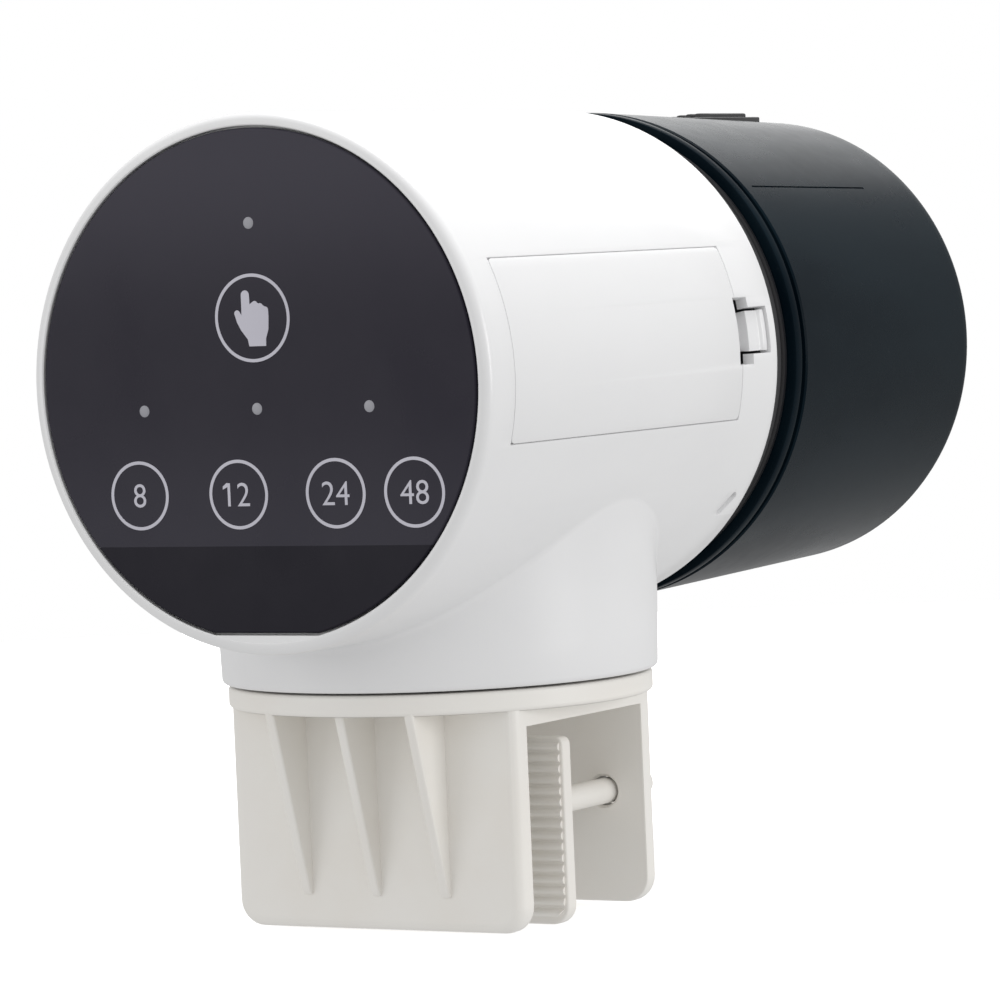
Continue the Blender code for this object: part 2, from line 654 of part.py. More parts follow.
def latch_spring_parts():
    """The U-shaped spring that carries the finger tab: down, across the slot, up, and out to the tab."""
    low = TAB_RADII[0] - LATCH_SPRING_DEPTH
    floor = (low, low + LATCH_SPRING_THICK)
    front_leg = (LATCH_SLOT_FRONT - 2 * LATCH_SPRING_THICK, LATCH_SLOT_FRONT - LATCH_SPRING_THICK)
    rear_leg = (LATCH_SLOT_BACK + GAP, LATCH_SLOT_BACK + GAP + LATCH_SPRING_THICK)
    door_inside = HEAD_RADIUS - HEAD_WALL + 0.3 * MM
    return (
        ("latch_front_leg", (low, door_inside), front_leg),
        ("latch_floor", floor, (front_leg[0], rear_leg[1])),
        ("latch_rear_leg", (low, TAB_RADII[1]), rear_leg),
        ("latch_tab", TAB_RADII, (rear_leg[0], TAB_BACK)),
        ("latch_lip", (TAB_RADII[0] + 0.5 * MM, TAB_RADII[1] + 0.5 * MM), (TAB_BACK - 1.2 * MM, TAB_BACK)),
    )


# ---------------------------------------------------------------- drive train


def idler_place():
    reach = GEAR_MODULE * (OUTPUT_TEETH + PINION_TEETH) / 2
    return reach * math.cos(IDLER_DIRECTION), reach * math.sin(IDLER_DIRECTION)


def motor_place():
    x, z = idler_place()
    reach = GEAR_MODULE * (IDLER_TEETH + PINION_TEETH) / 2
    return x + reach * math.cos(MOTOR_DIRECTION), z + reach * math.sin(MOTOR_DIRECTION)


def gearbox_frame(head, finishes):
    """The two plates that hold the gears, the rear one's screws, and the bush of the shaft."""
    idler_x, idler_z = idler_place()
    motor_x, motor_z = motor_place()
    outline = [polar(32.8 * MM, math.radians(a)) for a in range(-150, 1, 10)]
    outline += [(9 * MM, 26 * MM), (9 * MM, -16 * MM)]
    plate = piece("gearbox_plate", extruded(outline, *GEAR_PLATE), finishes["dark"], head)
    reach = (GEAR_PLATE[0] - 1 * MM, GEAR_PLATE[1] + 1 * MM)
    cut(plate, "plate_shaft_hole", rod(SHAFT_RADIUS + GAP, *reach))
    cut(plate, "plate_axle_hole", rod(1.0 * MM + GAP, *reach, 12), (idler_x, 0, idler_z))
    cut(plate, "plate_motor_hole", rod(2.2 * MM, *reach, 12), (motor_x, 0, motor_z))
    wall = HEAD_RADIUS - HEAD_WALL
    bulkhead = piece("rear_bulkhead", rod(wall - GAP, *BULKHEAD, ROUND), finishes["dark"], head)
    cut(bulkhead, "bush_hole", rod(5.2 * MM + GAP, BULKHEAD[0] - 1 * MM, BULKHEAD[1] + 1 * MM))
    axle_hole = rod(1.0 * MM + GAP, BULKHEAD[0] - 1 * MM, BULKHEAD[0] + 1.2 * MM, 12)
    cut(bulkhead, "bulkhead_axle_hole", axle_hole, (idler_x, 0, idler_z))
    for index, angle in enumerate(screw_angles()):
        x, z = polar(wall - 2.6 * MM, angle)
        hole = rod(1.3 * MM, BULKHEAD[0] - 1 * MM, BULKHEAD[1] + 1 * MM, 12)
        cut(bulkhead, f"bulkhead_hole_{index}", hole, (x, 0, z))
        screw = turned(
            [
                (0, 26 * MM),
                (1.0 * MM, 26 * MM),
                (1.0 * MM, BULKHEAD[1] + 0.1 * MM),
                (2.0 * MM, BULKHEAD[1] + 0.1 * MM),
                (1.9 * MM, BULKHEAD[1] + 0.5 * MM),
                (0, BULKHEAD[1] + 0.5 * MM),
            ],
            12,
        )
        piece(f"bulkhead_screw_{index + 1}", screw, finishes["steel"], head, (x, 0, z))
    bush = [
        (SHAFT_RADIUS + GAP, 32.0 * MM),
        (6.6 * MM, 32.0 * MM),
        (6.6 * MM, 33.1 * MM),
        (5.2 * MM, 33.1 * MM),
        (5.2 * MM, 35.4 * MM),
        (SHAFT_RADIUS + GAP, 35.4 * MM),
    ]
    piece("shaft_bush", turned(bush, 24, closed=True), finishes["brass"], head)
    axle = rod(1.0 * MM, GEAR_PLATE[0] + 0.2 * MM, BULKHEAD[0] + 0.9 * MM, 12)
    piece("idler_axle", axle, finishes["steel"], head, (idler_x, 0, idler_z))
    return bulkhead


def gear_motor(head, finishes):
    """The motor's can and its reduction gearhead, screwed to the front of the gearbox plate."""
    x, z = motor_place()
    can = rod(6.0 * MM, -6.0 * MM, 8.8 * MM, 24)
    for vert in can.verts:
        vert.co.x = max(-5.0 * MM, min(5.0 * MM, vert.co.x))
    bmesh.ops.dissolve_degenerate(can, dist=1e-7, edges=can.edges)
    piece("motor_can", can, finishes["steel"], head, (x, 0, z))
    gearhead = box((-6 * MM, 9.1 * MM, -5 * MM), (6 * MM, 19.3 * MM, 5 * MM))
    body = piece("motor_gearhead", gearhead, finishes["brass"], head, (x, 0, z))
    cut(body, "gearhead_bore", rod(1.5 * MM + GAP, 15 * MM, 20 * MM, 12))
    return body


def gear_bodies(finishes, drive, idler, motor):
    """The pinion on the motor's shaft, the two-step idler and the output gear on the main shaft."""
    mesh_turn = math.pi + IDLER_DIRECTION
    small_phase = mesh_turn
    output_phase = IDLER_DIRECTION + math.pi / OUTPUT_TEETH
    output = piece("output_gear", extruded(gear_outline(OUTPUT_TEETH, output_phase), 23.0 * MM, 26.4 * MM),
                   finishes["gear"], drive)
    cut(output, "output_bore", rod(SHAFT_RADIUS + GAP, 22 * MM, 28 * MM))
    large_phase = MOTOR_DIRECTION
    step = piece("idler_gear", extruded(gear_outline(IDLER_TEETH, large_phase), 27.2 * MM, 30.2 * MM),
                 finishes["gear"], idler)
    join(step, "idler_small_teeth", extruded(gear_outline(PINION_TEETH, small_phase), 22.6 * MM, 28.0 * MM))
    cut(step, "idler_bore", rod(1.0 * MM + GAP, 22 * MM, 31 * MM, 12))
    pinion_phase = MOTOR_DIRECTION + math.pi + math.pi / PINION_TEETH
    pinion = piece("motor_pinion", extruded(gear_outline(PINION_TEETH, pinion_phase), 26.8 * MM, 30.6 * MM),
                   finishes["gear"], motor)
    join(pinion, "pinion_shaft", rod(1.5 * MM, 15.6 * MM, 28 * MM, 12))
    return output


# ---------------------------------------------------------------- hub and drum


def drive_hub(drive, finishes):
    """The shaft with the black hub plate that closes the drum, its magnet and its clip."""
    shaft = rod(SHAFT_RADIUS, 18.6 * MM, 40.3 * MM, 24)
    piece("drive_shaft", shaft, finishes["steel"], drive)
    clip = tube(SHAFT_RADIUS + GAP, 5.2 * MM, 21.4 * MM, 22.2 * MM, 20)
    cut_gap = box((-1.2 * MM, 21 * MM, 2 * MM), (1.2 * MM, 23 * MM, 7 * MM))
    ring = piece("shaft_clip", clip, finishes["steel"], drive)
    cut(ring, "clip_gap", cut_gap)
    front, back = HUB_PLATE
    profile = [
        (0, front),
        (HUB_RADIUS, front),
        (HUB_RADIUS, back),
        (DRUM_INNER - GAP, back),
        (DRUM_INNER - 0.5 * MM, back + 4.5 * MM),
        (DRUM_INNER - 2.3 * MM, back + 4.5 * MM),
        (DRUM_INNER - 2.3 * MM, back - 2.4 * MM),
        (0, back - 2.4 * MM),
    ]
    hub = piece("hub_plate", turned(profile, ROUND), finishes["black"], drive)
    join(hub, "hub_boss", rod(5.5 * MM, back - 3 * MM, 42.0 * MM, 24))
    cut(hub, "hub_bore", rod(SHAFT_RADIUS + GAP, front - 1 * MM, 40.6 * MM, 24))
    cut(hub, "magnet_pocket", rod(2.3 * MM, front - 1 * MM, front + 1.8 * MM, 16), (0, 0, -19 * MM))
    use_manifold_solver(hub)
    magnet = rod(2.0 * MM, front + 0.1 * MM, front + 1.5 * MM, 16)
    return piece("hub_magnet", magnet, finishes["steel"], drive, (0, 0, -19 * MM))


def food_drum(drum, tinted):
    """The food container: a tapered cup with a feed window and a shallow pocket for its gate."""
    front, back = DRUM_FRONT, DRUM_BACK
    profile = [
        (DRUM_INNER, front),
        (DRUM_RADIUS - 0.2 * MM, front),
        (DRUM_RADIUS, front + 0.3 * MM),
        (DRUM_RADIUS, front + 1.8 * MM),
        (DRUM_RADIUS - 0.8 * MM, front + 2.0 * MM),
        (DRUM_RADIUS - 0.8 * MM, front + 2.9 * MM),
        (DRUM_RADIUS, front + 3.2 * MM),
        (DRUM_BACK_RADIUS, back - 1.6 * MM),
        (DRUM_BACK_RADIUS - 0.5 * MM, back - 0.5 * MM),
        (DRUM_BACK_RADIUS - 1.6 * MM, back),
        (0, back),
        (0, back - 2.2 * MM),
        (DRUM_BACK_INNER - 1.0 * MM, back - 2.2 * MM),
        (DRUM_BACK_INNER, back - 3.2 * MM),
    ]
    cup = piece("food_drum", turned(profile, ROUND, closed=True), tinted, drum)
    start, end = GATE_ANGLES
    pocket = (start - GATE_TRAVEL - math.radians(2.0), end + math.radians(1.0))
    along = (GATE_ALONG[0] - 0.4 * MM, GATE_ALONG[1] + 0.4 * MM)
    cut(cup, "gate_pocket", sector(POCKET_FLOOR, 40 * MM, pocket, along, 18))
    cut(cup, "feed_window", sector(25 * MM, 40 * MM, WINDOW_ANGLES, WINDOW_ALONG, 6))
    return cup


def feed_gate(gate, grey):
    """The curved slider over the window, with a ribbed thumb grip along its leading edge."""
    inner, outer = GATE_RADII
    plate = piece("feed_gate", sector(inner, outer, GATE_ANGLES, GATE_ALONG, 10), grey, gate)
    for index in range(4):
        angle = GATE_ANGLES[1] - math.radians(2.0 + 2.6 * index)
        ridge = (angle - math.radians(0.7), angle + math.radians(0.7))
        shape = sector(outer - 0.4 * MM, outer + 0.6 * MM, ridge, (80 * MM, 94.5 * MM), 1)
        join(plate, f"gate_rib_{index}", shape)
    return plate


# ---------------------------------------------------------------- swivel and leads


def swivel(head, finishes):
    """The bolt that holds the head on the clamp, and its washer, both turning with the head."""
    under_head = CLAMP_BLOCK_UNDER + 2.7 * MM - HEAD_Z
    washer_top = under_head - GAP
    washer = tube(2.5 * MM, 5.2 * MM, washer_top - 0.6 * MM, washer_top, 20, axis="Z")
    piece("swivel_washer", washer, finishes["steel"], head)
    seat = washer_top - 0.6 * MM - GAP
    profile = [
        (0, seat - 1.3 * MM),
        (4.2 * MM, seat - 1.3 * MM),
        (4.4 * MM, seat - 0.3 * MM),
        (4.4 * MM, seat),
        (1.8 * MM, seat),
        (1.8 * MM, NECK_RIM + 13 * MM),
        (0, NECK_RIM + 13 * MM),
    ]
    return piece("swivel_bolt", turned(profile, 20, axis="Z"), finishes["steel"], head)


def inner_leads(head, finishes):
    """The insulated wires from the board to the motor and to the battery contacts, in mm."""
    x, z = (value / MM for value in motor_place())
    motor_back = -6.9
    for name, side, colour in (("motor_lead_red", 1, "red"), ("motor_lead_black", -1, "dark")):
        route = [
            (x + 2 * side, motor_back, z),
            (x + 2 * side, motor_back - 6, z + side),
            (-14 + 2 * side, -24, 12 + 3 * side),
            (-17 + 2 * side, -33, 12 + 3 * side),
            (-17 + 2 * side, -36.4, 12 + 3 * side),
        ]
        lead(name, route, finishes[colour], head)
    for name, top, colour in (("battery_lead_red", 20.0, "red"), ("battery_lead_black", -19.5, "dark")):
        route = [
            (20.5, 26.4, top),
            (14.0, 26.0, top),
            (10.0, 16.0, top),
            (9.0, -10.0, top * 0.9),
            (8.0, -30.0, top * 0.8),
            (8.0, -36.4, top * 0.8),
        ]
        lead(name, route, finishes[colour], head)


# ---------------------------------------------------------------- assembly


def make_finishes():
    return {
        "white": finish("white_gloss_plastic", (0.80, 0.80, 0.81), 0.3),
        "ivory": finish("ivory_plastic", (0.78, 0.76, 0.72), 0.4),
        "panel": finish("panel_dark", (0.035, 0.030, 0.045), 0.25),
        "tinted": finish("tinted_drum_plastic", (0.03, 0.035, 0.045), 0.15),
        "black": finish("black_plastic", (0.012, 0.012, 0.014), 0.4),
        "dark": finish("grey_plastic", (0.10, 0.10, 0.11), 0.5),
        "gear": finish("gear_acetal", (0.75, 0.74, 0.70), 0.4),
        "board": finish("circuit_board", (0.02, 0.16, 0.07), 0.5),
        "led": finish("led_lens", (0.75, 0.75, 0.80), 0.3),
        "steel": finish("steel", (0.60, 0.61, 0.63), 0.3, 1.0),
        "brass": finish("brass", (0.75, 0.55, 0.25), 0.3, 1.0),
        "cell": finish("cell_wrap", (0.10, 0.22, 0.16), 0.35),
        "red": finish("red_wire", (0.55, 0.03, 0.02), 0.5),
    }


def main():
    clear_scene()
    finishes = make_finishes()
    clamp_bracket(finishes["ivory"])
    clamp_nut(finishes["brass"])
    jaw = pivot("jaw_slide_axis", (0, 0, 0))
    moving_jaw(jaw, finishes["ivory"])
    screw = pivot("clamp_screw_axis", (0, 0, GUIDE_Z), jaw)
    clamp_screw(screw, finishes["steel"], finishes["ivory"])

    head = pivot("head_swivel_axis", (0, NECK_Y, HEAD_Z))
    main_housing(head, finishes["white"])
    touch_panel(head, finishes["panel"])
    control_electronics(head, finishes)
    battery_bay(head, finishes)
    hinge = Matrix.Rotation(BAY_TURN, 3, "Y") @ Vector((HEAD_RADIUS, DOOR_FRONT + GAP, 0))
    door = pivot("door_hinge_axis", hinge, head)
    battery_door(door, finishes["white"], hinge)
    gearbox_frame(head, finishes)
    gear_motor(head, finishes)
    drive = pivot("drum_axis", (0, 0, 0), head)
    idler_x, idler_z = idler_place()
    idler = pivot("idler_axis", (idler_x, 0, idler_z), head)
    motor_x, motor_z = motor_place()
    motor = pivot("motor_axis", (motor_x, 0, motor_z), head)
    gear_bodies(finishes, drive, idler, motor)
    drive_hub(drive, finishes)
    drum = pivot("drum_pull_axis", (0, 0, 0), drive)
    food_drum(drum, finishes["tinted"])
    gate = pivot("gate_axis", (0, 0, 0), drum)
    feed_gate(gate, finishes["black"])
    swivel(head, finishes)
    inner_leads(head, finishes)


main()
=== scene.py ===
"""The looks of an automatic fish feeder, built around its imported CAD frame.

A cylindrical feeder head with a touch panel and a dark food drum stands on a neck, which
swivels on a clamp for the rim of a tank. Every class below is one sub-assembly: its fields
are sizes in millimetres, and its methods build its meshes and dress them.
"""

import json
import logging
import math
from dataclasses import dataclass
from enum import Enum
from typing import Any, Callable, Sequence

import bmesh
import bpy
from mathutils import Matrix, Vector


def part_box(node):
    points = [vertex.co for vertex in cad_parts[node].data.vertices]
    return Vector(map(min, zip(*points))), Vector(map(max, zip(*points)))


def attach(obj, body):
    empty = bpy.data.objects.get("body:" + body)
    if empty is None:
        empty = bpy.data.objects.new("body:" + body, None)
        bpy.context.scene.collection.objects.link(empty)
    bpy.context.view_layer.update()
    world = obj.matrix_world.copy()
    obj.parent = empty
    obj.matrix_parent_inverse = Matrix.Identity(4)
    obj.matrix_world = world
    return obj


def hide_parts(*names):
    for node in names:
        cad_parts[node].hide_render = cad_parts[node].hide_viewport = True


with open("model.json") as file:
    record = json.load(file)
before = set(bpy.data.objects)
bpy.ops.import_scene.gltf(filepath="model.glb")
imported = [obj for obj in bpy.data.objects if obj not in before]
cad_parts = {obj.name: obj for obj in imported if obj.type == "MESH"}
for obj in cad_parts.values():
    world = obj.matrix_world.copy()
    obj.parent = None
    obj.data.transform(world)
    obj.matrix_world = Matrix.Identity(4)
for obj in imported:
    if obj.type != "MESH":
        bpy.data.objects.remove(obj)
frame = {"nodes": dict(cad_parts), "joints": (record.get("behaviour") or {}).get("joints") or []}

LOG = logging.getLogger("fish_feeder")
MM = 0.001
SMOOTH_ANGLE = math.radians(32.0)
SNAP = 0.01
CORNER_ANGLE = 60.0
WALL_NORMAL = 0.9
RUN_OVER = 1.0
THROUGH = 1.0
SLICE = 1.21
EVEN = (1.0, 1.0, 1.0)
OBJECT_OUTPUT = 3
MIX_FIRST, MIX_SECOND, MIX_OUTPUT = 6, 7, 2
Colour = tuple[float, float, float]
Span = tuple[float, float]
Profile = Sequence[Span]
EdgeRule = Callable[[Vector, Vector], bool]
RowRule = Callable[[float], Vector]


class Axis(Enum):
    """The world axis that a shape is turned about or drawn out along."""

    X = (1.0, 0.0, 0.0)
    Y = (0.0, 1.0, 0.0)
    Z = (0.0, 0.0, 1.0)


class Join(Enum):
    """What a Boolean does with its two shapes."""

    ADD = "UNION"
    CUT = "DIFFERENCE"
    KEEP = "INTERSECT"


# ---------------------------------------------------------------- shader maths


class Socket:
    """A shader socket on which Python's operators can be used.

    Args:
        graph: The material that the socket belongs to.
        link: The node's output socket.
    """

    def __init__(self, graph: "Graph", link: Any) -> None:
        """Keeps the graph and the output socket."""
        self.graph = graph
        self.link = link

    def _maths(self, operation: str, first: Any, second: Any) -> "Socket":
        """Adds one Math node."""
        return self.graph.node("ShaderNodeMath", {"operation": operation}, {0: first, 1: second})

    def __add__(self, other: Any) -> "Socket":
        """Sum."""
        return self._maths("ADD", self, other)

    def __radd__(self, other: Any) -> "Socket":
        """Sum, reflected."""
        return self._maths("ADD", other, self)

    def __sub__(self, other: Any) -> "Socket":
        """Difference."""
        return self._maths("SUBTRACT", self, other)

    def __rsub__(self, other: Any) -> "Socket":
        """Difference, reflected."""
        return self._maths("SUBTRACT", other, self)

    def __mul__(self, other: Any) -> "Socket":
        """Product."""
        return self._maths("MULTIPLY", self, other)

    def __rmul__(self, other: Any) -> "Socket":
        """Product, reflected."""
        return self._maths("MULTIPLY", other, self)

    def __truediv__(self, other: Any) -> "Socket":
        """Quotient."""
        return self._maths("DIVIDE", self, other)

    def __gt__(self, other: Any) -> "Socket":
        """1 where this is greater."""
        return self._maths("GREATER_THAN", self, other)

    def __lt__(self, other: Any) -> "Socket":
        """1 where this is less."""
        return self._maths("LESS_THAN", self, other)

    def between(self, low: float, high: float) -> "Socket":
        """A smooth step from 0 at low to 1 at high."""
        inputs = {"Value": self, "From Min": low, "From Max": high}
        return self.graph.node("ShaderNodeMapRange", {"interpolation_type": "SMOOTHSTEP"}, inputs)


class Graph:
    """A material's node tree with one Principled BSDF, filled in by expressions.

    Args:
        name: The material's name.
    """

    def __init__(self, name: str) -> None:
        """Makes the material with its shader and output."""
        self.material = bpy.data.materials.new(name)
        self.material.use_nodes = True
        self.tree = self.material.node_tree
        self.shader = self.tree.nodes["Principled BSDF"]

    def put(self, target: Any, value: Any) -> None:
        """Links a Socket to an input, or sets the input's own value."""
        if isinstance(value, Socket):
            self.tree.links.new(value.link, target)
        else:
            target.default_value = value

    def node(
        self, kind: str, settings: dict | None = None, inputs: dict | None = None, output: int = 0
    ) -> Socket:
        """Adds a node.

        Args:
            kind: The node's type.
            settings: The node's own settings, made first; "stops" fills in a ramp.
            inputs: Values or Sockets by the input's name or number.
            output: Which output is wanted.

        Returns:
            The wanted output.
        """
        made = self.tree.nodes.new(kind)
        for key, value in (settings or {}).items():
            if key == "stops":
                self._fill_ramp(made.color_ramp, value)
            else:
                setattr(made, key, value)
        for key, value in (inputs or {}).items():
            self.put(made.inputs[key], value)
        return Socket(self, made.outputs[output])

    @staticmethod
    def _fill_ramp(ramp: Any, stops: Sequence[tuple[float, Sequence[float]]]) -> None:
        """Sets a colour ramp's stops."""
        while len(ramp.elements) < len(stops):
            ramp.elements.new(1.0)
        for element, (place, colour) in zip(ramp.elements, stops):
            element.position = place
            element.color = (*colour, 1.0)

    def place(self, stretch: Sequence[float] = EVEN) -> Socket:
        """Object coordinates in millimetres, stretched along the axes."""
        coordinates = self.node("ShaderNodeTexCoord", output=OBJECT_OUTPUT)
        scale = [factor / MM for factor in stretch]
        inputs = {"Vector": coordinates, "Scale": scale}
        return self.node("ShaderNodeMapping", {"vector_type": "POINT"}, inputs)

    def along(self, axis: str) -> Socket:
        """One object coordinate, in millimetres."""
        return self.node("ShaderNodeSeparateXYZ", {}, {0: self.place()}, "XYZ".index(axis))

    def noise(self, size: float, detail: float = 3.0, stretch: Sequence[float] = EVEN) -> Socket:
        """Noise whose blotches are about this many millimetres across.

        Args:
            size: The size of the blotches.
            detail: How many finer layers there are.
            stretch: Scale along each axis, below 1 to draw the blotches out.

        Returns:
            A value from 0 to 1.
        """
        inputs = {"Vector": self.place(stretch), "Scale": 1.0 / size, "Detail": detail}
        return self.node("ShaderNodeTexNoise", {}, inputs)

    def mix(self, factor: Any, first: Any, second: Any) -> Socket:
        """Blends two colours."""
        first, second = (
            value if isinstance(value, Socket) else (*value, 1.0) for value in (first, second)
        )
        inputs = {0: factor, MIX_FIRST: first, MIX_SECOND: second}
        return self.node("ShaderNodeMix", {"data_type": "RGBA"}, inputs, MIX_OUTPUT)

    def bump(
        self, height: Socket, distance: float, strength: float = 1.0, before: Socket | None = None
    ) -> Socket:
        """A bump of this depth in millimetres, on top of an earlier one."""
        inputs: dict = {"Height": height, "Distance": distance * MM, "Strength": strength}
        if before is not None:
            inputs["Normal"] = before
        return self.node("ShaderNodeBump", {}, inputs)

    def finish(self, **sockets: Any) -> bpy.types.Material:
        """Fills in the shader's sockets, whose names have _ for a space."""
        for name, value in sockets.items():
            self.put(self.shader.inputs[name.replace("_", " ")], value)
        return self.material


# ---------------------------------------------------------------- finishes


@dataclass(frozen=True)
class Moulding:
    """Injection-moulded plastic: faint flow mottling, a fine spark-eroded grain and soft gloss.

    Args:
        name: The material's name.
        colour: The plastic's colour.
        shade: What the mottling and the handled spots drift to.
        roughness: The lowest roughness.
        spread: How much rougher the dull spots are.
        grain: The size of the surface grain, in millimetres.
        depth: The depth of the grain, in millimetres.
        coat: The strength of the clear gloss on top.
    """

    name: str
    colour: Colour
    shade: Colour
    roughness: float = 0.3
    spread: float = 0.12
    grain: float = 0.35
    depth: float = 0.004
    coat: float = 0.0

    def material(self) -> bpy.types.Material:
        """Makes the material."""
        graph = Graph(self.name)
        flow = graph.noise(14.0, 4.0, (1.0, 0.45, 1.0)).between(0.35, 0.75)
        speck = graph.noise(1.1, 2.0).between(0.55, 0.8)
        colour = graph.mix(flow * 0.55 + speck * 0.12, self.colour, self.shade)
        rough = self.roughness + flow * self.spread + graph.noise(3.0, 5.0) * (self.spread * 0.5)
        swell = graph.bump(graph.noise(9.0, 2.0), 0.02, 0.5)
        surface = graph.bump(graph.noise(self.grain, 2.0), self.depth, 0.7, swell)
        return graph.finish(
            Base_Color=colour, Roughness=rough, Normal=surface, Coat_Weight=self.coat, Coat_Roughness=0.12
        )


@dataclass(frozen=True)
class PanelFilm:
    """The smoked touch panel: charcoal, with a painted reflection that is lighter near its top and just above
    the band and darkest at the middle, and a darker band below.

    Args:
        name: The material's name.
        centre: The height of the head's axis, in millimetres.
        band: Where the dark band starts, below the head's axis.
        upper: The film's colour near its top, lightened by the painted reflection.
        middle: Its colour at the keys' dots, where the painted reflection is darkest.
        lower: Its colour above the band, lightened by the painted reflection.
        strip: The band's colour.
        dust: The colour of its fine mottling.
    """

    name: str
    centre: float
    band: float = -20.8
    upper: Colour = (0.044, 0.041, 0.056)
    middle: Colour = (0.018, 0.016, 0.026)
    lower: Colour = (0.033, 0.031, 0.043)
    strip: Colour = (0.008, 0.007, 0.013)
    dust: Colour = (0.06, 0.055, 0.07)

    def material(self) -> bpy.types.Material:
        """Makes the material."""
        graph = Graph(self.name)
        height = graph.along("Z") - self.centre
        # Painted reflection: lighter near the top, darkest at the keys' dots, lighter again just above the
        # band.
        film_with_reflection = graph.mix(height.between(6.0, 30.0), self.middle, self.upper)
        film_with_reflection = graph.mix(height.between(0.0, self.band), film_with_reflection, self.lower)
        film_with_reflection = graph.mix(height < self.band, film_with_reflection, self.strip)
        film_with_reflection = graph.mix(graph.noise(5.0, 5.0) * 0.10, film_with_reflection, self.dust)
        smudge = graph.noise(16.0, 5.0, (1.0, 1.0, 0.6)).between(0.45, 0.75)
        rough = 0.20 + smudge * 0.10 + graph.noise(0.8, 3.0) * 0.04
        skin = graph.bump(graph.noise(0.5, 2.0), 0.002, 0.5)
        return graph.finish(Base_Color=film_with_reflection, Roughness=rough, Normal=skin, Specular_IOR_Level=0.12)


@dataclass(frozen=True)
class Tinted:
    """Smoke-tinted drum plastic: blue-black, polished, with faint moulding waves along it.

    Args:
        name: The material's name.
        colour: The plastic's colour.
        shade: What the deeper places drift to.
        fleck: The colour of its fine flecks.
    """

    name: str
    colour: Colour = (0.004, 0.010, 0.015)
    shade: Colour = (0.001, 0.005, 0.009)
    fleck: Colour = (0.045, 0.05, 0.055)

    def material(self) -> bpy.types.Material:
        """Makes the material."""
        graph = Graph(self.name)
        depth = graph.noise(18.0, 4.0, (1.0, 0.3, 1.0)).between(0.3, 0.7)
        fines = graph.noise(0.9, 4.0).between(0.62, 0.85)
        colour = graph.mix(depth, self.colour, self.shade)
        colour = graph.mix(fines * 0.15, colour, self.fleck)
        rough = 0.22 + depth * 0.05 + graph.noise(2.5, 5.0) * 0.06
        wave = graph.bump(graph.noise(7.0, 2.0, (1.0, 0.4, 1.0)), 0.02, 0.35)
        skin = graph.bump(graph.noise(0.4, 2.0), 0.002, 0.5, wave)
        return graph.finish(Base_Color=colour, Roughness=rough, Normal=skin, Specular_IOR_Level=0.035)


@dataclass(frozen=True)
class Metal:
    """Turned or pressed metal with fine tool lines, small stains and dull spots.

    Args:
        name: The material's name.
        colour: The metal's colour.
        stain: The colour of its stains.
        roughness: The lowest roughness.
        lines: The spacing of the tool lines along the part, in millimetres.
    """

    name: str
    colour: Colour
    stain: Colour
    roughness: float = 0.24
    lines: float = 0.12

    def material(self) -> bpy.types.Material:
        """Makes the material."""
        graph = Graph(self.name)
        tooling = graph.noise(self.lines, 2.0, (0.08, 1.0, 0.08))
        stains = graph.noise(2.4, 5.0).between(0.5, 0.8)
        colour = graph.mix(stains * 0.5, self.colour, self.stain)
        rough = self.roughness + tooling * 0.12 + stains * 0.2
        surface = graph.bump(tooling, 0.006, 0.6)
        return graph.finish(Base_Color=colour, Roughness=rough, Metallic=1.0 - stains * 0.15, Normal=surface)


@dataclass(frozen=True)
class Board:
    """A printed circuit board: green mask over copper tracks, with fibre weave beneath.

    Args:
        name: The material's name.
    """

    name: str

    def material(self) -> bpy.types.Material:
        """Makes the material."""
        graph = Graph(self.name)
        inputs = {"Vector": graph.place(), "Scale": 0.42, "Mortar Size": 0.06}
        inputs.update({"Color1": (1, 1, 1, 1), "Color2": (0, 0, 0, 1)})
        tracks = graph.node("ShaderNodeTexBrick", {"offset": 0.37}, inputs, 1)
        weave = graph.noise(0.35, 2.0, (1.0, 1.0, 0.3))
        mask = graph.mix(weave * 0.6, (0.008, 0.085, 0.035), (0.014, 0.13, 0.05))
        colour = graph.mix(tracks * 0.7, mask, (0.03, 0.20, 0.08))
        surface = graph.bump(tracks + weave * 0.3, 0.03, 0.6)
        return graph.finish(Base_Color=colour, Roughness=0.32 + weave * 0.2, Normal=surface)


@dataclass(frozen=True)
class CellWrap:
    """A dry cell's shrink wrap: a dark sleeve with a copper-coloured band at one end.

    Args:
        name: The material's name.
        band_from: Where the band starts along the cell, in millimetres.
        band_to: Where it ends.
    """

    name: str
    band_from: float
    band_to: float

    def material(self) -> bpy.types.Material:
        """Makes the material."""
        graph = Graph(self.name)
        along = graph.along("Y")
        band = (along > self.band_from) * (along < self.band_to)
        scuffs = graph.noise(1.5, 5.0, (1.0, 0.3, 1.0)).between(0.55, 0.8)
        colour = graph.mix(band, (0.02, 0.05, 0.045), (0.42, 0.20, 0.07))
        colour = graph.mix(scuffs * 0.35, colour, (0.25, 0.25, 0.25))
        surface = graph.bump(graph.noise(2.0, 3.0, (1.0, 0.2, 1.0)), 0.02, 0.5)
        rough = 0.22 + scuffs * 0.25
        return graph.finish(Base_Color=colour, Roughness=rough, Metallic=band * 0.7, Normal=surface)


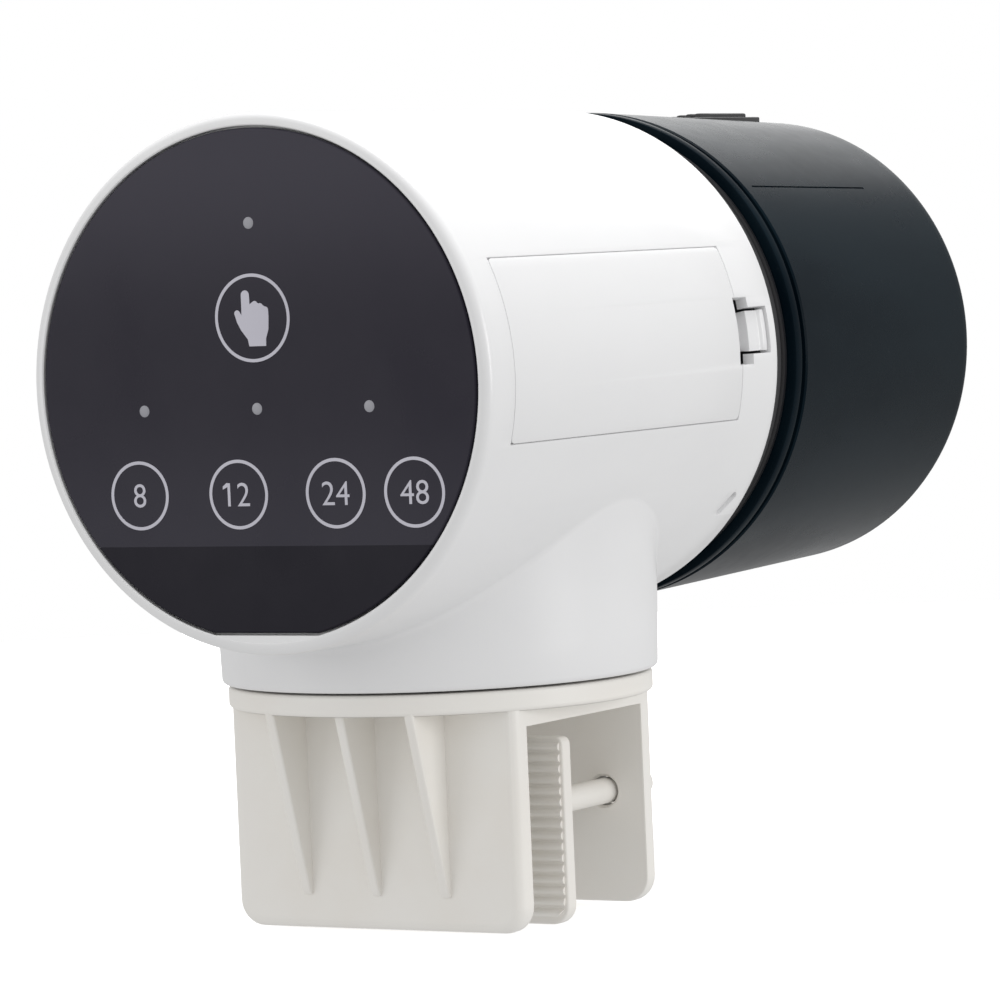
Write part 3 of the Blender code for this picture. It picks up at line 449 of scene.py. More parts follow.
class Palette:
    """Every finish in use, by its name, which for most is also the record's slot.

    Args:
        layout: Where the parts lie, for the patterns that follow a part.
    """

    def __init__(self, layout: "Layout") -> None:
        """Makes the materials."""
        white = Moulding("white_gloss_plastic", (0.80, 0.80, 0.805), (0.76, 0.76, 0.765), 0.26, coat=0.25)
        ivory_shade, coarse = (0.83, 0.795, 0.74), {"grain": 0.3, "depth": 0.006}
        ivory = Moulding("ivory_plastic", (0.86, 0.84, 0.80), ivory_shade, 0.38, **coarse)
        wire = {"roughness": 0.42, "grain": 0.2, "depth": 0.004}
        finishes = (
            white,
            ivory,
            PanelFilm("panel_dark", layout.head.z),
            Tinted("tinted_drum_plastic"),
            Moulding("black_plastic", (0.010, 0.010, 0.012), (0.017, 0.017, 0.02), 0.30),
            Moulding("grey_plastic", (0.11, 0.11, 0.12), (0.07, 0.07, 0.075), 0.45),
            Moulding("gear_acetal", (0.74, 0.73, 0.69), (0.66, 0.64, 0.58), 0.34),
            Board("circuit_board"),
            Moulding("led_lens", (0.56, 0.56, 0.62), (0.48, 0.48, 0.54), 0.3, coat=0.2),
            Metal("steel", (0.60, 0.61, 0.63), (0.36, 0.36, 0.38)),
            Metal("brass", (0.74, 0.53, 0.24), (0.46, 0.30, 0.12)),
            CellWrap("cell_wrap", layout.head.y + 4.0, layout.head.y + 40.0),
            Moulding("red_wire", (0.50, 0.025, 0.02), (0.38, 0.02, 0.018), **wire),
            Moulding("black_wire", (0.013, 0.013, 0.015), (0.02, 0.02, 0.022), **wire),
            Moulding("panel_print", (0.56, 0.55, 0.62), (0.50, 0.49, 0.56), 0.4, depth=0.002),
            Moulding("light_window", (0.32, 0.32, 0.35), (0.26, 0.26, 0.30), 0.3, depth=0.002),
        )
        self.by_slot: dict[str, bpy.types.Material] = {made.name: made.material() for made in finishes}

    def __getitem__(self, slot: str) -> bpy.types.Material:
        """The material of a slot."""
        return self.by_slot[slot]


# ---------------------------------------------------------------- shapes


class Shape:
    """A solid under construction in millimetres, on one bmesh."""

    def __init__(self, bm: bmesh.types.BMesh | None = None) -> None:
        """Starts empty, or from a bmesh."""
        self.bm = bm or bmesh.new()

    @classmethod
    def turned(cls, profile: Profile, steps: int = 128, axis: Axis = Axis.Y) -> "Shape":
        """Spins a closed profile of (radius, along) points about an axis.

        Args:
            profile: The profile; points on the axis close the ends.
            steps: How many sides the turned shape has.
            axis: The Y or the Z axis.

        Returns:
            The turned shape.
        """
        shape = cls()
        upright = axis is Axis.Z
        points = [shape.bm.verts.new((r, 0, a) if upright else (r, a, 0)) for r, a in profile]
        edges = [shape.bm.edges.new(pair) for pair in zip(points, points[1:] + points[:1])]
        spun = {"cent": (0, 0, 0), "axis": axis.value, "angle": 2 * math.pi, "steps": steps}
        bmesh.ops.spin(shape.bm, geom=points + edges, use_merge=True, use_duplicate=False, **spun)
        return shape.welded(1e-5)

    @classmethod
    def rod(cls, radius: float, start: float, end: float, axis: Axis = Axis.Y, steps: int = 48) -> "Shape":
        """A plain round bar, mostly used as a cutter."""
        return cls.turned([(0, start), (radius, start), (radius, end), (0, end)], steps, axis)

    @classmethod
    def pin(cls, radius: float, start: float, end: float, lead: float, steps: int = 48) -> "Shape":
        """A bar along Y whose ends have a rounded lead-in."""
        profile = [(0, start)]
        profile += arc((radius - lead, start + lead), lead, -90, 0, 4)
        profile += arc((radius - lead, end - lead), lead, 0, 90, 4)
        return cls.turned(profile + [(0, end)], steps)

    @classmethod
    def prism(cls, outline: Profile, start: float, end: float, axis: Axis = Axis.Y) -> "Shape":
        """Draws an outline out along an axis.

        Args:
            outline: Points (x, z) for Y, (y, z) for X or (x, y) for Z.
            start: Where it starts along the axis.
            end: Where it ends.
            axis: The axis.

        Returns:
            The prism.
        """
        shape = cls()
        where: dict[Axis, Callable[[float, float], tuple[float, float, float]]] = {
            Axis.X: lambda a, b: (start, a, b),
            Axis.Y: lambda a, b: (a, start, b),
            Axis.Z: lambda a, b: (a, b, start),
        }
        face = shape.bm.faces.new([shape.bm.verts.new(where[axis](a, b)) for a, b in outline])
        drawn = bmesh.ops.extrude_face_region(shape.bm, geom=[face])["geom"]
        moved = [item for item in drawn if isinstance(item, bmesh.types.BMVert)]
        bmesh.ops.translate(shape.bm, vec=Vector(axis.value) * (end - start), verts=moved)
        bmesh.ops.recalc_face_normals(shape.bm, faces=shape.bm.faces)
        return shape

    @classmethod
    def block(cls, low: Sequence[float], high: Sequence[float]) -> "Shape":
        """A box between two corners."""
        shape = cls()
        bmesh.ops.create_cube(shape.bm, size=1.0)
        size = Vector(high) - Vector(low)
        bmesh.ops.scale(shape.bm, vec=size, verts=shape.bm.verts)
        bmesh.ops.translate(shape.bm, vec=(Vector(high) + Vector(low)) / 2, verts=shape.bm.verts)
        return shape

    def welded(self, within: float) -> "Shape":
        """Merges doubles and turns the faces outwards."""
        bmesh.ops.remove_doubles(self.bm, verts=self.bm.verts, dist=within)
        bmesh.ops.dissolve_degenerate(self.bm, dist=within, edges=self.bm.edges)
        loose = [edge for edge in self.bm.edges if not edge.link_faces]
        bmesh.ops.delete(self.bm, geom=loose, context="EDGES")
        bmesh.ops.recalc_face_normals(self.bm, faces=self.bm.faces)
        return self

    def bevelled(
        self,
        width: float,
        segments: int = 2,
        chosen: EdgeRule | None = None,
        sharper: float = 25.0,
    ) -> "Shape":
        """Rounds sharp edges.

        Args:
            width: The bevel's width.
            segments: How many faces it gets.
            chosen: Which edges, by their two ends; all of them if left out.
            sharper: The least angle between an edge's faces, in degrees.

        Returns:
            This shape.
        """
        limit = math.radians(sharper)
        edges = [
            edge
            for edge in self.bm.edges
            if edge.is_manifold
            and edge.calc_face_angle(0.0) > limit
            and (chosen is None or chosen(edge.verts[0].co, edge.verts[1].co))
        ]
        if edges:
            bmesh.ops.bevel(
                self.bm, geom=edges, offset=width, offset_type="OFFSET", affect="EDGES",
                segments=segments, profile=0.5, material=-1, clamp_overlap=True,
            )
        return self

    def moved(self, *by: float) -> "Shape":
        """Moves the shape."""
        bmesh.ops.translate(self.bm, vec=by, verts=self.bm.verts)
        return self

    def rotated(self, degrees: float, axis: Axis, about: Sequence[float] = (0, 0, 0)) -> "Shape":
        """Turns the shape about an axis through a point."""
        turn = Matrix.Rotation(math.radians(degrees), 3, axis.value)
        bmesh.ops.rotate(self.bm, verts=self.bm.verts, cent=about, matrix=turn)
        return self

    def shaped(self, change: Callable[[Vector], Vector]) -> "Shape":
        """Moves every vertex by a rule."""
        for vert in self.bm.verts:
            vert.co = change(vert.co)
        return self

    def also(self, other: "Shape") -> "Shape":
        """Takes in another shape as it is, where two closed bodies make one piece."""
        mesh = bpy.data.meshes.new("taken_in")
        other.bm.to_mesh(mesh)
        self.bm.from_mesh(mesh)
        bpy.data.meshes.remove(mesh)
        other.bm.free()
        return self

    def _helper(self) -> bpy.types.Object:
        """A short-lived object with this shape."""
        mesh = bpy.data.meshes.new("helper")
        self.bm.to_mesh(mesh)
        made = bpy.data.objects.new("helper", mesh)
        bpy.context.scene.collection.objects.link(made)
        return made

    def combined(self, join: Join, other: "Shape") -> "Shape":
        """Adds, cuts or keeps what is common with another shape, which is used up.

        Args:
            join: What to do.
            other: The other shape, closed like this one.

        Returns:
            This shape.
        """
        base, tool = self._helper(), other._helper()
        change = base.modifiers.new("join", "BOOLEAN")
        change.object = tool
        change.operation = join.value
        change.solver = "MANIFOLD"
        graph = bpy.context.evaluated_depsgraph_get()
        result = bpy.data.meshes.new_from_object(base.evaluated_get(graph))
        self.bm.clear()
        self.bm.from_mesh(result)
        other.bm.free()
        for helper in (base, tool):
            mesh = helper.data
            bpy.data.objects.remove(helper)
            bpy.data.meshes.remove(mesh)
        bpy.data.meshes.remove(result)
        return self

    def plus(self, *others: "Shape") -> "Shape":
        """Adds other shapes."""
        for other in others:
            self.combined(Join.ADD, other)
        return self

    def minus(self, *others: "Shape") -> "Shape":
        """Cuts other shapes away."""
        for other in others:
            self.combined(Join.CUT, other)
        return self

    def sliced(self, step: float) -> "Shape":
        """Cuts the faces at even steps along X, so that the sheet can be rolled."""
        across = [vert.co.x for vert in self.bm.verts]
        first, last = math.floor(min(across) / step), math.ceil(max(across) / step)
        for index in range(first, last + 1):
            everything = list(self.bm.verts) + list(self.bm.edges) + list(self.bm.faces)
            at = ((index + 0.5) * step, 0, 0)
            bmesh.ops.bisect_plane(self.bm, geom=everything, dist=1e-5, plane_co=at, plane_no=(1, 0, 0))
        return self

    def rolled(self, radius: float, from_top: bool) -> "Shape":
        """Rolls a flat sheet round the Y axis: X becomes the angle and Z the radius.

        Args:
            radius: The radius at which X is a true length.
            from_top: Whether X counts from the top, towards +X, or from the bottom.

        Returns:
            This shape.
        """
        up = 1.0 if from_top else -1.0

        def place(flat: Vector) -> Vector:
            """Where a point of the sheet lands."""
            angle = flat.x / radius
            return Vector((flat.z * math.sin(angle), flat.y, up * flat.z * math.cos(angle)))

        self.shaped(place)
        return self.welded(1e-3)

    def piece(
        self, name: str, at: Vector, finish: bpy.types.Material, even: bool = False
    ) -> bpy.types.Object:
        """Makes the finished object.

        Args:
            name: The piece's name.
            at: Where the shape's own origin lies, in millimetres.
            finish: Its material.
            even: Whether flat faces next to bevels are to be shaded flat.

        Returns:
            The object, at the origin, with its place in its mesh.
        """
        self.moved(*at)
        bmesh.ops.scale(self.bm, vec=(MM, MM, MM), verts=self.bm.verts)
        mesh = bpy.data.meshes.new(name)
        self.bm.to_mesh(mesh)
        self.bm.free()
        mesh.materials.clear()
        mesh.materials.append(finish)
        mesh.shade_smooth()
        mesh.set_sharp_from_angle(angle=SMOOTH_ANGLE)
        made = bpy.data.objects.new(name, mesh)
        bpy.context.scene.collection.objects.link(made)
        if even:
            made.modifiers.new("even_shading", "WEIGHTED_NORMAL").keep_sharp = True
        LOG.info("made %s with %d faces", name, len(mesh.polygons))
        return made


def arc(centre: Span, radius: float, start: float, end: float, steps: int) -> list[Span]:
    """Points along an arc in the plane of a profile.

    Args:
        centre: The arc's centre.
        radius: Its radius.
        start: The angle that it starts at, in degrees.
        end: The angle that it ends at.
        steps: How many chords it has.

    Returns:
        The points, both ends included.
    """
    angles = [math.radians(start + (end - start) * step / steps) for step in range(steps + 1)]
    return [(centre[0] + radius * math.cos(a), centre[1] + radius * math.sin(a)) for a in angles]


def settle(piece: bpy.types.Object, body: str, slot: str, *nodes: str) -> bpy.types.Object:
    """Rides a piece on its body and hides the CAD nodes that it stands for."""
    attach(piece, body)
    if nodes:
        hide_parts(*nodes)
    return piece


def through_edge(first: Vector, second: Vector) -> bool:
    """Whether an edge of a flat sheet runs through its thickness."""
    return abs(first.z - second.z) > THROUGH


def open_ends(sheet: Shape, half: float) -> None:
    """Takes away a strip's two end faces, which meet once it is rolled.

    Args:
        sheet: The flat strip.
        half: Half its length.
    """
    end = half - 1e-3
    faces = sheet.bm.faces
    caps = [f for f in faces if abs(f.normal.x) > WALL_NORMAL and abs(f.verts[0].co.x) > end]
    bmesh.ops.delete(sheet.bm, geom=caps, context="FACES")


# ---------------------------------------------------------------- layout


class Layout:
    """Places from the frame, in millimetres."""

    def __init__(self) -> None:
        """Reads the joints and the boxes."""
        joints = {joint["name"]: joint for joint in frame["joints"]}
        self.head = Vector(joints["head_swivel"]["pos_m"]) / MM
        self.screw = Vector((0.0, 0.0, joints["screw_turn"]["pos_m"][2] / MM))
        self.origin = Vector((0.0, 0.0, 0.0))
        self.ground = min(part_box(node)[0].z for node in frame["nodes"])


# ---------------------------------------------------------------- feeder head


@dataclass
class HeadShell:
    """The white shell: a rolled tube with the neck drawn out of it over a rolling-ball fillet."""

    layout: Layout
    palette: Palette
    radius: float = 35.0
    wall: float = 1.7
    front: float = -42.7
    back: float = 35.7
    rim_round: float = 1.3
    recess: float = 1.5
    recess_radius: float = 33.3
    ledge: float = 1.4
    ledge_radius: float = 29.5
    chord: float = -32.35
    neck_top: float = 30.1
    neck_rim: float = 29.6
    neck_wall: float = 1.8
    neck_foot: float = -41.2
    neck_floor: float = 2.2
    neck_fillet: float = 1.5
    foot_round: float = 0.7
    boss: float = 5.5
    boss_top: float = -27.2
    bore: float = 2.1
    bay: float = 95.6
    door_half: float = 20.0
    door: Span = (-36.2, 25.3)
    slot_half: float = 7.6
    slot_back: float = 28.5
    tab_half: float = 5.3
    tab_back: float = 33.6
    seam_round: float = 0.09
    cut: Span = (-3.0, 2.0)
    slit_half: Span = (2.0, 0.75)
    slit_depth: float = 1.1
    slit_round: float = 0.5
    slit_turn: float = 34.0
    slit_bearing: float = 54.2
    slit_along: float = 31.2
    floor_ring: float = 14.0
    post: float = 3.1
    post_along: Span = (21.3, 33.1)
    post_hole: float = 1.4
    post_hole_along: Span = (24.0, 34.0)
    post_inset: float = 2.6
    post_bearings: tuple[float, ...] = (-140.0, -20.0, 140.0)
    step: float = 1.22

    def build(self) -> bpy.types.Object:
        """Builds the shell and its panel surround."""
        sheet = self._sheet()
        self._openings(sheet)
        self._neck_hole(sheet)
        open_ends(sheet, math.pi * self.radius)
        sheet.sliced(self.step)
        self._drop_walls(sheet)
        sheet.rolled(self.radius, from_top=False)
        self._neck(sheet)
        self._posts(sheet)
        made = sheet.piece("head_shell", self.layout.head, self.palette["white_gloss_plastic"])
        return settle(made, "head", "white_gloss_plastic", "main_housing")

    def _angle(self, degrees: float) -> float:
        """The flat sheet's X at an angle from the bottom."""
        return self.radius * math.radians(degrees)

    def _sheet(self) -> Shape:
        """The tube's wall as a flat strip, with its rounded front rim and the panel's ledge."""
        inner = self.radius - self.wall
        seat = self.front + self.recess
        profile = [(self.back, inner + 0.2), (self.back, self.radius - 0.4)]
        profile += [(self.back - 0.15, self.radius - 0.12), (self.back - 0.4, self.radius)]
        round_centre = (self.front + self.rim_round, self.radius - self.rim_round)
        profile += arc(round_centre, self.rim_round, 90, 180, 6)
        profile += [(self.front, self.recess_radius + 0.15), (self.front + 0.15, self.recess_radius)]
        under = seat + self.ledge
        profile += [(seat, self.recess_radius), (seat, self.ledge_radius)]
        profile += [(under, self.ledge_radius), (under, inner), (self.back - 0.2, inner)]
        half = math.pi * self.radius
        return Shape.prism(profile, -half, half, Axis.X)

    def _openings(self, sheet: Shape) -> None:
        """Cuts the battery opening with its latch recess, and the small slanted moulding slot."""
        low, high = (self.radius + reach for reach in self.cut)
        middle = self._angle(self.bay)
        openings = (
            (self.door_half, self.door[0], self.door[1]),
            (self.slot_half, self.door[1] - RUN_OVER, self.slot_back),
            (self.tab_half, self.slot_back - RUN_OVER, self.tab_back),
        )
        for half, start, end in openings:
            reach = self._angle(half)
            sheet.minus(Shape.block((middle - reach, start, low), (middle + reach, end, high)))
        wide, deep = self.slit_half
        slit = Shape.block((-wide, -deep, self.radius - self.slit_depth), (wide, deep, high))
        slit.bevelled(self.slit_round, 3, through_edge)
        slit.rotated(self.slit_turn, Axis.Z).moved(self._angle(self.slit_bearing), self.slit_along, 0.0)
        sheet.minus(slit)
        top = self.radius - SNAP
        ends = math.pi * self.radius - 0.1

        def on_opening(first: Vector, second: Vector) -> bool:
            """Whether an edge lies round an opening in the outer face."""
            outside = min(first.z, second.z) > top
            inside = max(abs(first.x), abs(second.x)) < ends
            return outside and inside and max(first.y, second.y) < self.back - 0.5

        sheet.bevelled(self.seam_round, 2, on_opening, CORNER_ANGLE)

    def _ball(self, bearing: float) -> tuple[Vector, Vector, Vector]:
        """Where a ball rolls between the tube and the neck.

        Args:
            bearing: The angle about the neck's axis, from +Y towards +X.

        Returns:
            The ball's centre, and where it touches the tube and the neck.
        """
        out = self.neck_top + self.neck_fillet
        far = self.radius + self.neck_fillet
        x, y = out * math.sin(bearing), out * math.cos(bearing)
        z = -math.sqrt(far * far - x * x)
        centre = Vector((x, y, z))
        tube = Vector((x * self.radius / far, y, z * self.radius / far))
        neck = Vector((x * self.neck_top / out, y * self.neck_top / out, z))
        return centre, tube, neck

    def _neck_hole(self, sheet: Shape) -> None:
        """Cuts the fillet's footprint out of the flat sheet."""
        sides = 144
        outline = []
        for side in range(sides):
            tube = self._ball(2 * math.pi * (side + 0.5) / sides)[1]
            outline.append((self.radius * math.asin(tube.x / self.radius), tube.y))
        low, high = (self.radius + reach for reach in self.cut)
        sheet.minus(Shape.prism(outline, low, high, Axis.Z))

    def _bearing(self, x: float, y: float) -> float:
        """The bearing at which the ball touches the tube at this X and Y."""
        out = self.neck_top + self.neck_fillet
        far = self.radius + self.neck_fillet
        return math.atan2(x * far / (self.radius * out), y / out)

    def _drop_walls(self, sheet: Shape) -> None:
        """Takes away the walls of the neck's hole, whose upright edges stand on its outline."""
        out = self.neck_top + self.neck_fillet

        def on_outline(vert: bmesh.types.BMVert) -> bool:
            """Whether a vertex lies on the footprint's outline."""
            x = (self.radius + self.neck_fillet) * math.sin(vert.co.x / self.radius)
            return abs(math.hypot(x, vert.co.y) - out) < 0.03

        faces = sheet.bm.faces
        walls = [f for f in faces if abs(f.normal.z) < 0.2 and all(map(on_outline, f.verts))]
        bmesh.ops.delete(sheet.bm, geom=walls, context="FACES")

    def _neck(self, sheet: Shape) -> None:
        """Draws the neck out of the hole's outer edge, row by row, and back up to its inner edge."""
        bm = sheet.bm
        layer = bm.verts.layers.float.new("bearing")
        middle = self.radius - self.wall / 2
        loops: dict[bool, list[bmesh.types.BMEdge]] = {True: [], False: []}
        for edge in bm.edges:
            if edge.is_boundary:
                reach = math.hypot(edge.verts[0].co.x, edge.verts[0].co.z)
                loops[reach > middle].append(edge)
        inner = (self.radius - self.wall) / self.radius
        for outside, edges in loops.items():
            for vert in {v for edge in edges for v in edge.verts}:
                grow = 1.0 if outside else 1.0 / inner
                vert[layer] = self._bearing(vert.co.x * grow, vert.co.y)
        self._match(loops[True], loops[False], layer)
        self._match(loops[False], loops[True], layer)
        for outside, edges in loops.items():
            for vert in {v for edge in edges for v in edge.verts}:
                tube = self._ball(vert[layer])[1]
                vert.co = tube if outside else Vector((tube.x * inner, tube.y, tube.z * inner))
        rim = loops[True]
        for row in self._rows():
            drawn = bmesh.ops.extrude_edge_only(bm, edges=rim)["geom"]
            fresh = {item for item in drawn if isinstance(item, bmesh.types.BMVert)}
            for vert in fresh:
                vert.co = row(vert[layer])
            edges = [item for item in drawn if isinstance(item, bmesh.types.BMEdge)]
            rim = [edge for edge in edges if edge.verts[0] in fresh and edge.verts[1] in fresh]
        sheet.welded(1e-3)

    @staticmethod
    def _match(edges: list[bmesh.types.BMEdge], model: list[bmesh.types.BMEdge], layer: Any) -> None:
        """Gives one edge loop a vertex wherever the other has one.

        Args:
            edges: The loop that gains vertices.
            model: The loop that it is to match.
            layer: The vertex layer that holds the bearings.
        """
        have = [vert[layer] for edge in edges for vert in edge.verts]
        want = {vert[layer] for edge in model for vert in edge.verts}
        for bearing in sorted(value for value in want if min(abs(value - other) for other in have) > 1e-4):
            for edge in edges:
                low, high = sorted(vert[layer] for vert in edge.verts)
                if low < bearing < high and high - low < 1.0:
                    fresh_edge, fresh = bmesh.utils.edge_split(edge, edge.verts[0], 0.5)
                    fresh[layer] = bearing
                    edges.append(fresh_edge)
                    break

    def _rows(self) -> list[RowRule]:
        """The neck's rows, as rules from a bearing to a place."""

        def fillet(share: float, inside: bool) -> RowRule:
            """A row on the fillet, or on the parallel one inside."""

            def row(bearing: float) -> Vector:
                """The place at a bearing."""
                centre, tube, neck = self._ball(bearing)
                start, end = tube - centre, neck - centre
                spoke = start.normalized().slerp(end.normalized(), share)
                reach = self.neck_fillet
                if inside:
                    reach += self.wall + (self.neck_wall - self.wall) * share
                return centre + spoke * reach

            return row

        def ring(radius: float, height: float) -> RowRule:
            """A level row."""
            return lambda bearing: Vector((radius * math.sin(bearing), radius * math.cos(bearing), height))

        def sleeve(share: float, top: float, foot: float, foot_height: float) -> RowRule:
            """A row between the fillet's foot and a level row below it."""

            def row(bearing: float) -> Vector:
                """The place at a bearing."""
                high = self._ball(bearing)[0].z
                radius = top + (foot - top) * share
                height = high + (foot_height - high) * share
                return Vector((radius * math.sin(bearing), radius * math.cos(bearing), height))

            return row

        steps = 6
        rows = [fillet(step / steps, False) for step in range(1, steps + 1)]
        round_centre = self.neck_foot + self.foot_round
        shares = (0.25, 0.5, 0.75, 1.0)
        rows += [sleeve(share, self.neck_top, self.neck_rim, round_centre) for share in shares]
        corner = arc((self.neck_rim - self.foot_round, round_centre), self.foot_round, 0, -90, 4)
        rows += [ring(radius, height) for radius, height in corner[1:]]
        floor = self.neck_foot + self.neck_floor
        inner_rim, inner_top = self.neck_rim - self.neck_wall, self.neck_top - self.neck_wall
        foot, bore, boss, wide = self.neck_foot, self.bore, self.boss, self.floor_ring
        levels = ((wide, foot), (bore, foot), (bore, self.boss_top))
        levels += ((boss, self.boss_top), (boss, floor), (wide, floor), (inner_rim, floor))
        rows += [ring(radius, height) for radius, height in levels]
        rows += [sleeve(share, inner_top, inner_rim, floor) for share in (0.66, 0.33, 0.0)]
        rows += [fillet(step / steps, True) for step in range(steps - 1, -1, -1)]
        return rows

    def _posts(self, sheet: Shape) -> None:
        """Adds the flat below the panel and the posts that the rear bulkhead is screwed to."""
        seat = self.front + self.recess
        wide = math.sqrt(self.recess_radius**2 - self.chord**2) + 0.3
        low = -self.radius + self.wall * 0.5
        under = self.chord - 0.4
        fill = [(-wide, self.chord), (-wide, under), (0.0, low), (wide, under), (wide, self.chord)]
        sheet.plus(Shape.prism(fill, self.front + 0.05, seat + 0.5))
        reach = self.radius - self.wall - self.post_inset
        for angle in map(math.radians, self.post_bearings):
            post = Shape.rod(self.post, *self.post_along, steps=24)
            post.minus(Shape.rod(self.post_hole, *self.post_hole_along, steps=16))
            sheet.plus(post.moved(reach * math.sin(angle), 0.0, reach * math.cos(angle)))


@dataclass
class TouchPanel:
    """The smoked panel with its printed keys, dots and numbers."""

    layout: Layout
    palette: Palette
    radius: float = 33.0
    chord: float = -32.05
    front: float = -42.6
    thick: float = 1.1
    line: float = 0.42
    dot: float = 0.8
    digit: float = 3.25
    ink: Span = (-0.05, 0.02)
    feed: Span = (8.6, 5.5)
    keys: tuple[tuple[float, str], ...] = ((-18.7, "8"), (-3.3, "12"), (11.5, "24"), (23.3, "48"))
    key_height: float = -14.1
    key: float = 4.3
    windows: tuple[Span, ...] = ((-17.4, -3.1), (0.1, -3.1), (17.1, -3.1), (0.0, 20.8))

    def build(self) -> bpy.types.Object:
        """Builds the panel and what is printed on it."""
        lift = math.degrees(math.acos(self.chord / self.radius)) - 90.0
        outline = arc((0.0, 0.0), self.radius, -lift, 180.0 + lift, 150)
        panel = Shape.prism(outline, self.front, self.front + self.thick)
        panel.bevelled(0.22, 3, lambda a, b: max(a.y, b.y) < self.front + 0.1, CORNER_ANGLE)
        made = panel.piece("touch_panel_face", self.layout.head, self.palette["panel_dark"], even=True)
        settle(made, "head", "panel_dark", "touch_panel")
        height, radius = self.feed
        self._print("feed_key_print", self._ring(0.0, height, radius), self._hand().moved(0.0, 0.0, height))
        for index, (x, number) in enumerate(self.keys):
            marks = (self._ring(x, self.key_height, self.key), self._number(x, self.key_height, number))
            self._print(f"interval_key_print_{index + 1}", *marks)
        for index, (x, z) in enumerate(self.windows):
            self._lens(f"light_window_{index + 1}", x, z)
        return made

    def _print(self, name: str, ring: Shape, sign: Shape) -> None:
        """Makes one printed key of its ring and the sign inside it."""
        made = ring.also(sign).piece(name, self.layout.head, self.palette["panel_print"])
        settle(made, "head", "led_lens")

    def _lens(self, name: str, x: float, z: float) -> None:
        """A small lit window, slightly domed."""
        dome = ((0.0, -0.1), (0.6, -0.08), (0.9, -0.04), (1.0, 0.03), (0.0, 0.03))
        profile = [(self.dot * share, self.front + deep) for share, deep in dome]
        lens = Shape.turned(profile, 28).moved(x, 0.0, z)
        made = lens.piece(name, self.layout.head, self.palette["light_window"])
        settle(made, "head", "led_lens")

    def _ring(self, x: float, z: float, radius: float) -> Shape:
        """A printed circle."""
        half = self.line / 2
        high, low = (self.front + deep for deep in self.ink)
        profile = [(radius - half, low), (radius - half, high), (radius + half, high), (radius + half, low)]
        return Shape.turned(profile, 72).moved(x, 0.0, z)

    def _number(self, x: float, z: float, text: str) -> Shape:
        """A printed number, centred on its key."""
        curve = bpy.data.curves.new("number", "FONT")
        curve.body = text
        curve.size = self.digit / 0.73
        curve.extrude = (self.ink[1] - self.ink[0]) / 2
        curve.resolution_u = 4
        curve.offset = -0.02
        made = bpy.data.objects.new("number", curve)
        bpy.context.scene.collection.objects.link(made)
        graph = bpy.context.evaluated_depsgraph_get()
        mesh = bpy.data.meshes.new_from_object(made.evaluated_get(graph))
        shape = Shape()
        shape.bm.from_mesh(mesh)
        bpy.data.objects.remove(made)
        bpy.data.curves.remove(curve)
        bpy.data.meshes.remove(mesh)
        shape.welded(1e-4).rotated(90.0, Axis.X)
        across = [vert.co.x for vert in shape.bm.verts]
        up = [vert.co.z for vert in shape.bm.verts]
        deep = [vert.co.y for vert in shape.bm.verts]
        middle_x, middle_z = (min(across) + max(across)) / 2, (min(up) + max(up)) / 2
        shape.moved(x - middle_x, self.front + self.ink[0] - min(deep), z - middle_z)
        if text[0] == "1":
            shape.also(self._flag(min(across) + x - middle_x, max(up) + z - middle_z))
        return shape

    def _flag(self, x: float, z: float) -> Shape:
        """The slanted stroke at the top of a 1, whose stem starts at this X and ends at this height."""
        outline = [(x, z - 0.52), (x, z), (x - 0.12, z), (x - 0.72, z - 0.46), (x - 0.72, z - 0.86)]
        return Shape.prism(outline, self.front + self.ink[0], self.front + self.ink[1])

    def _hand(self) -> Shape:
        """A generic pointing hand, from its wrist round to its thumb."""
        outline = [(-0.62, -3.65), (1.95, -3.65), (1.98, -2.7), (2.4, -1.5), (2.5, 0.2)]
        outline += arc((2.02, 0.95), 0.46, -10, 95, 4) + arc((1.25, 1.45), 0.42, 20, 120, 4)
        outline += arc((0.45, 1.75), 0.42, 30, 120, 3) + [(-0.33, 1.75)]
        outline += arc((-0.98, 2.95), 0.62, 0, 180, 8)
        outline += [(-1.6, 1.2), (-1.62, 0.35)] + arc((-2.3, 0.62), 0.42, 40, 215, 6)
        outline += [(-2.35, -0.55), (-1.75, -1.6), (-0.8, -2.75)]
        return Shape.prism(outline, self.front + self.ink[0], self.front + self.ink[1])


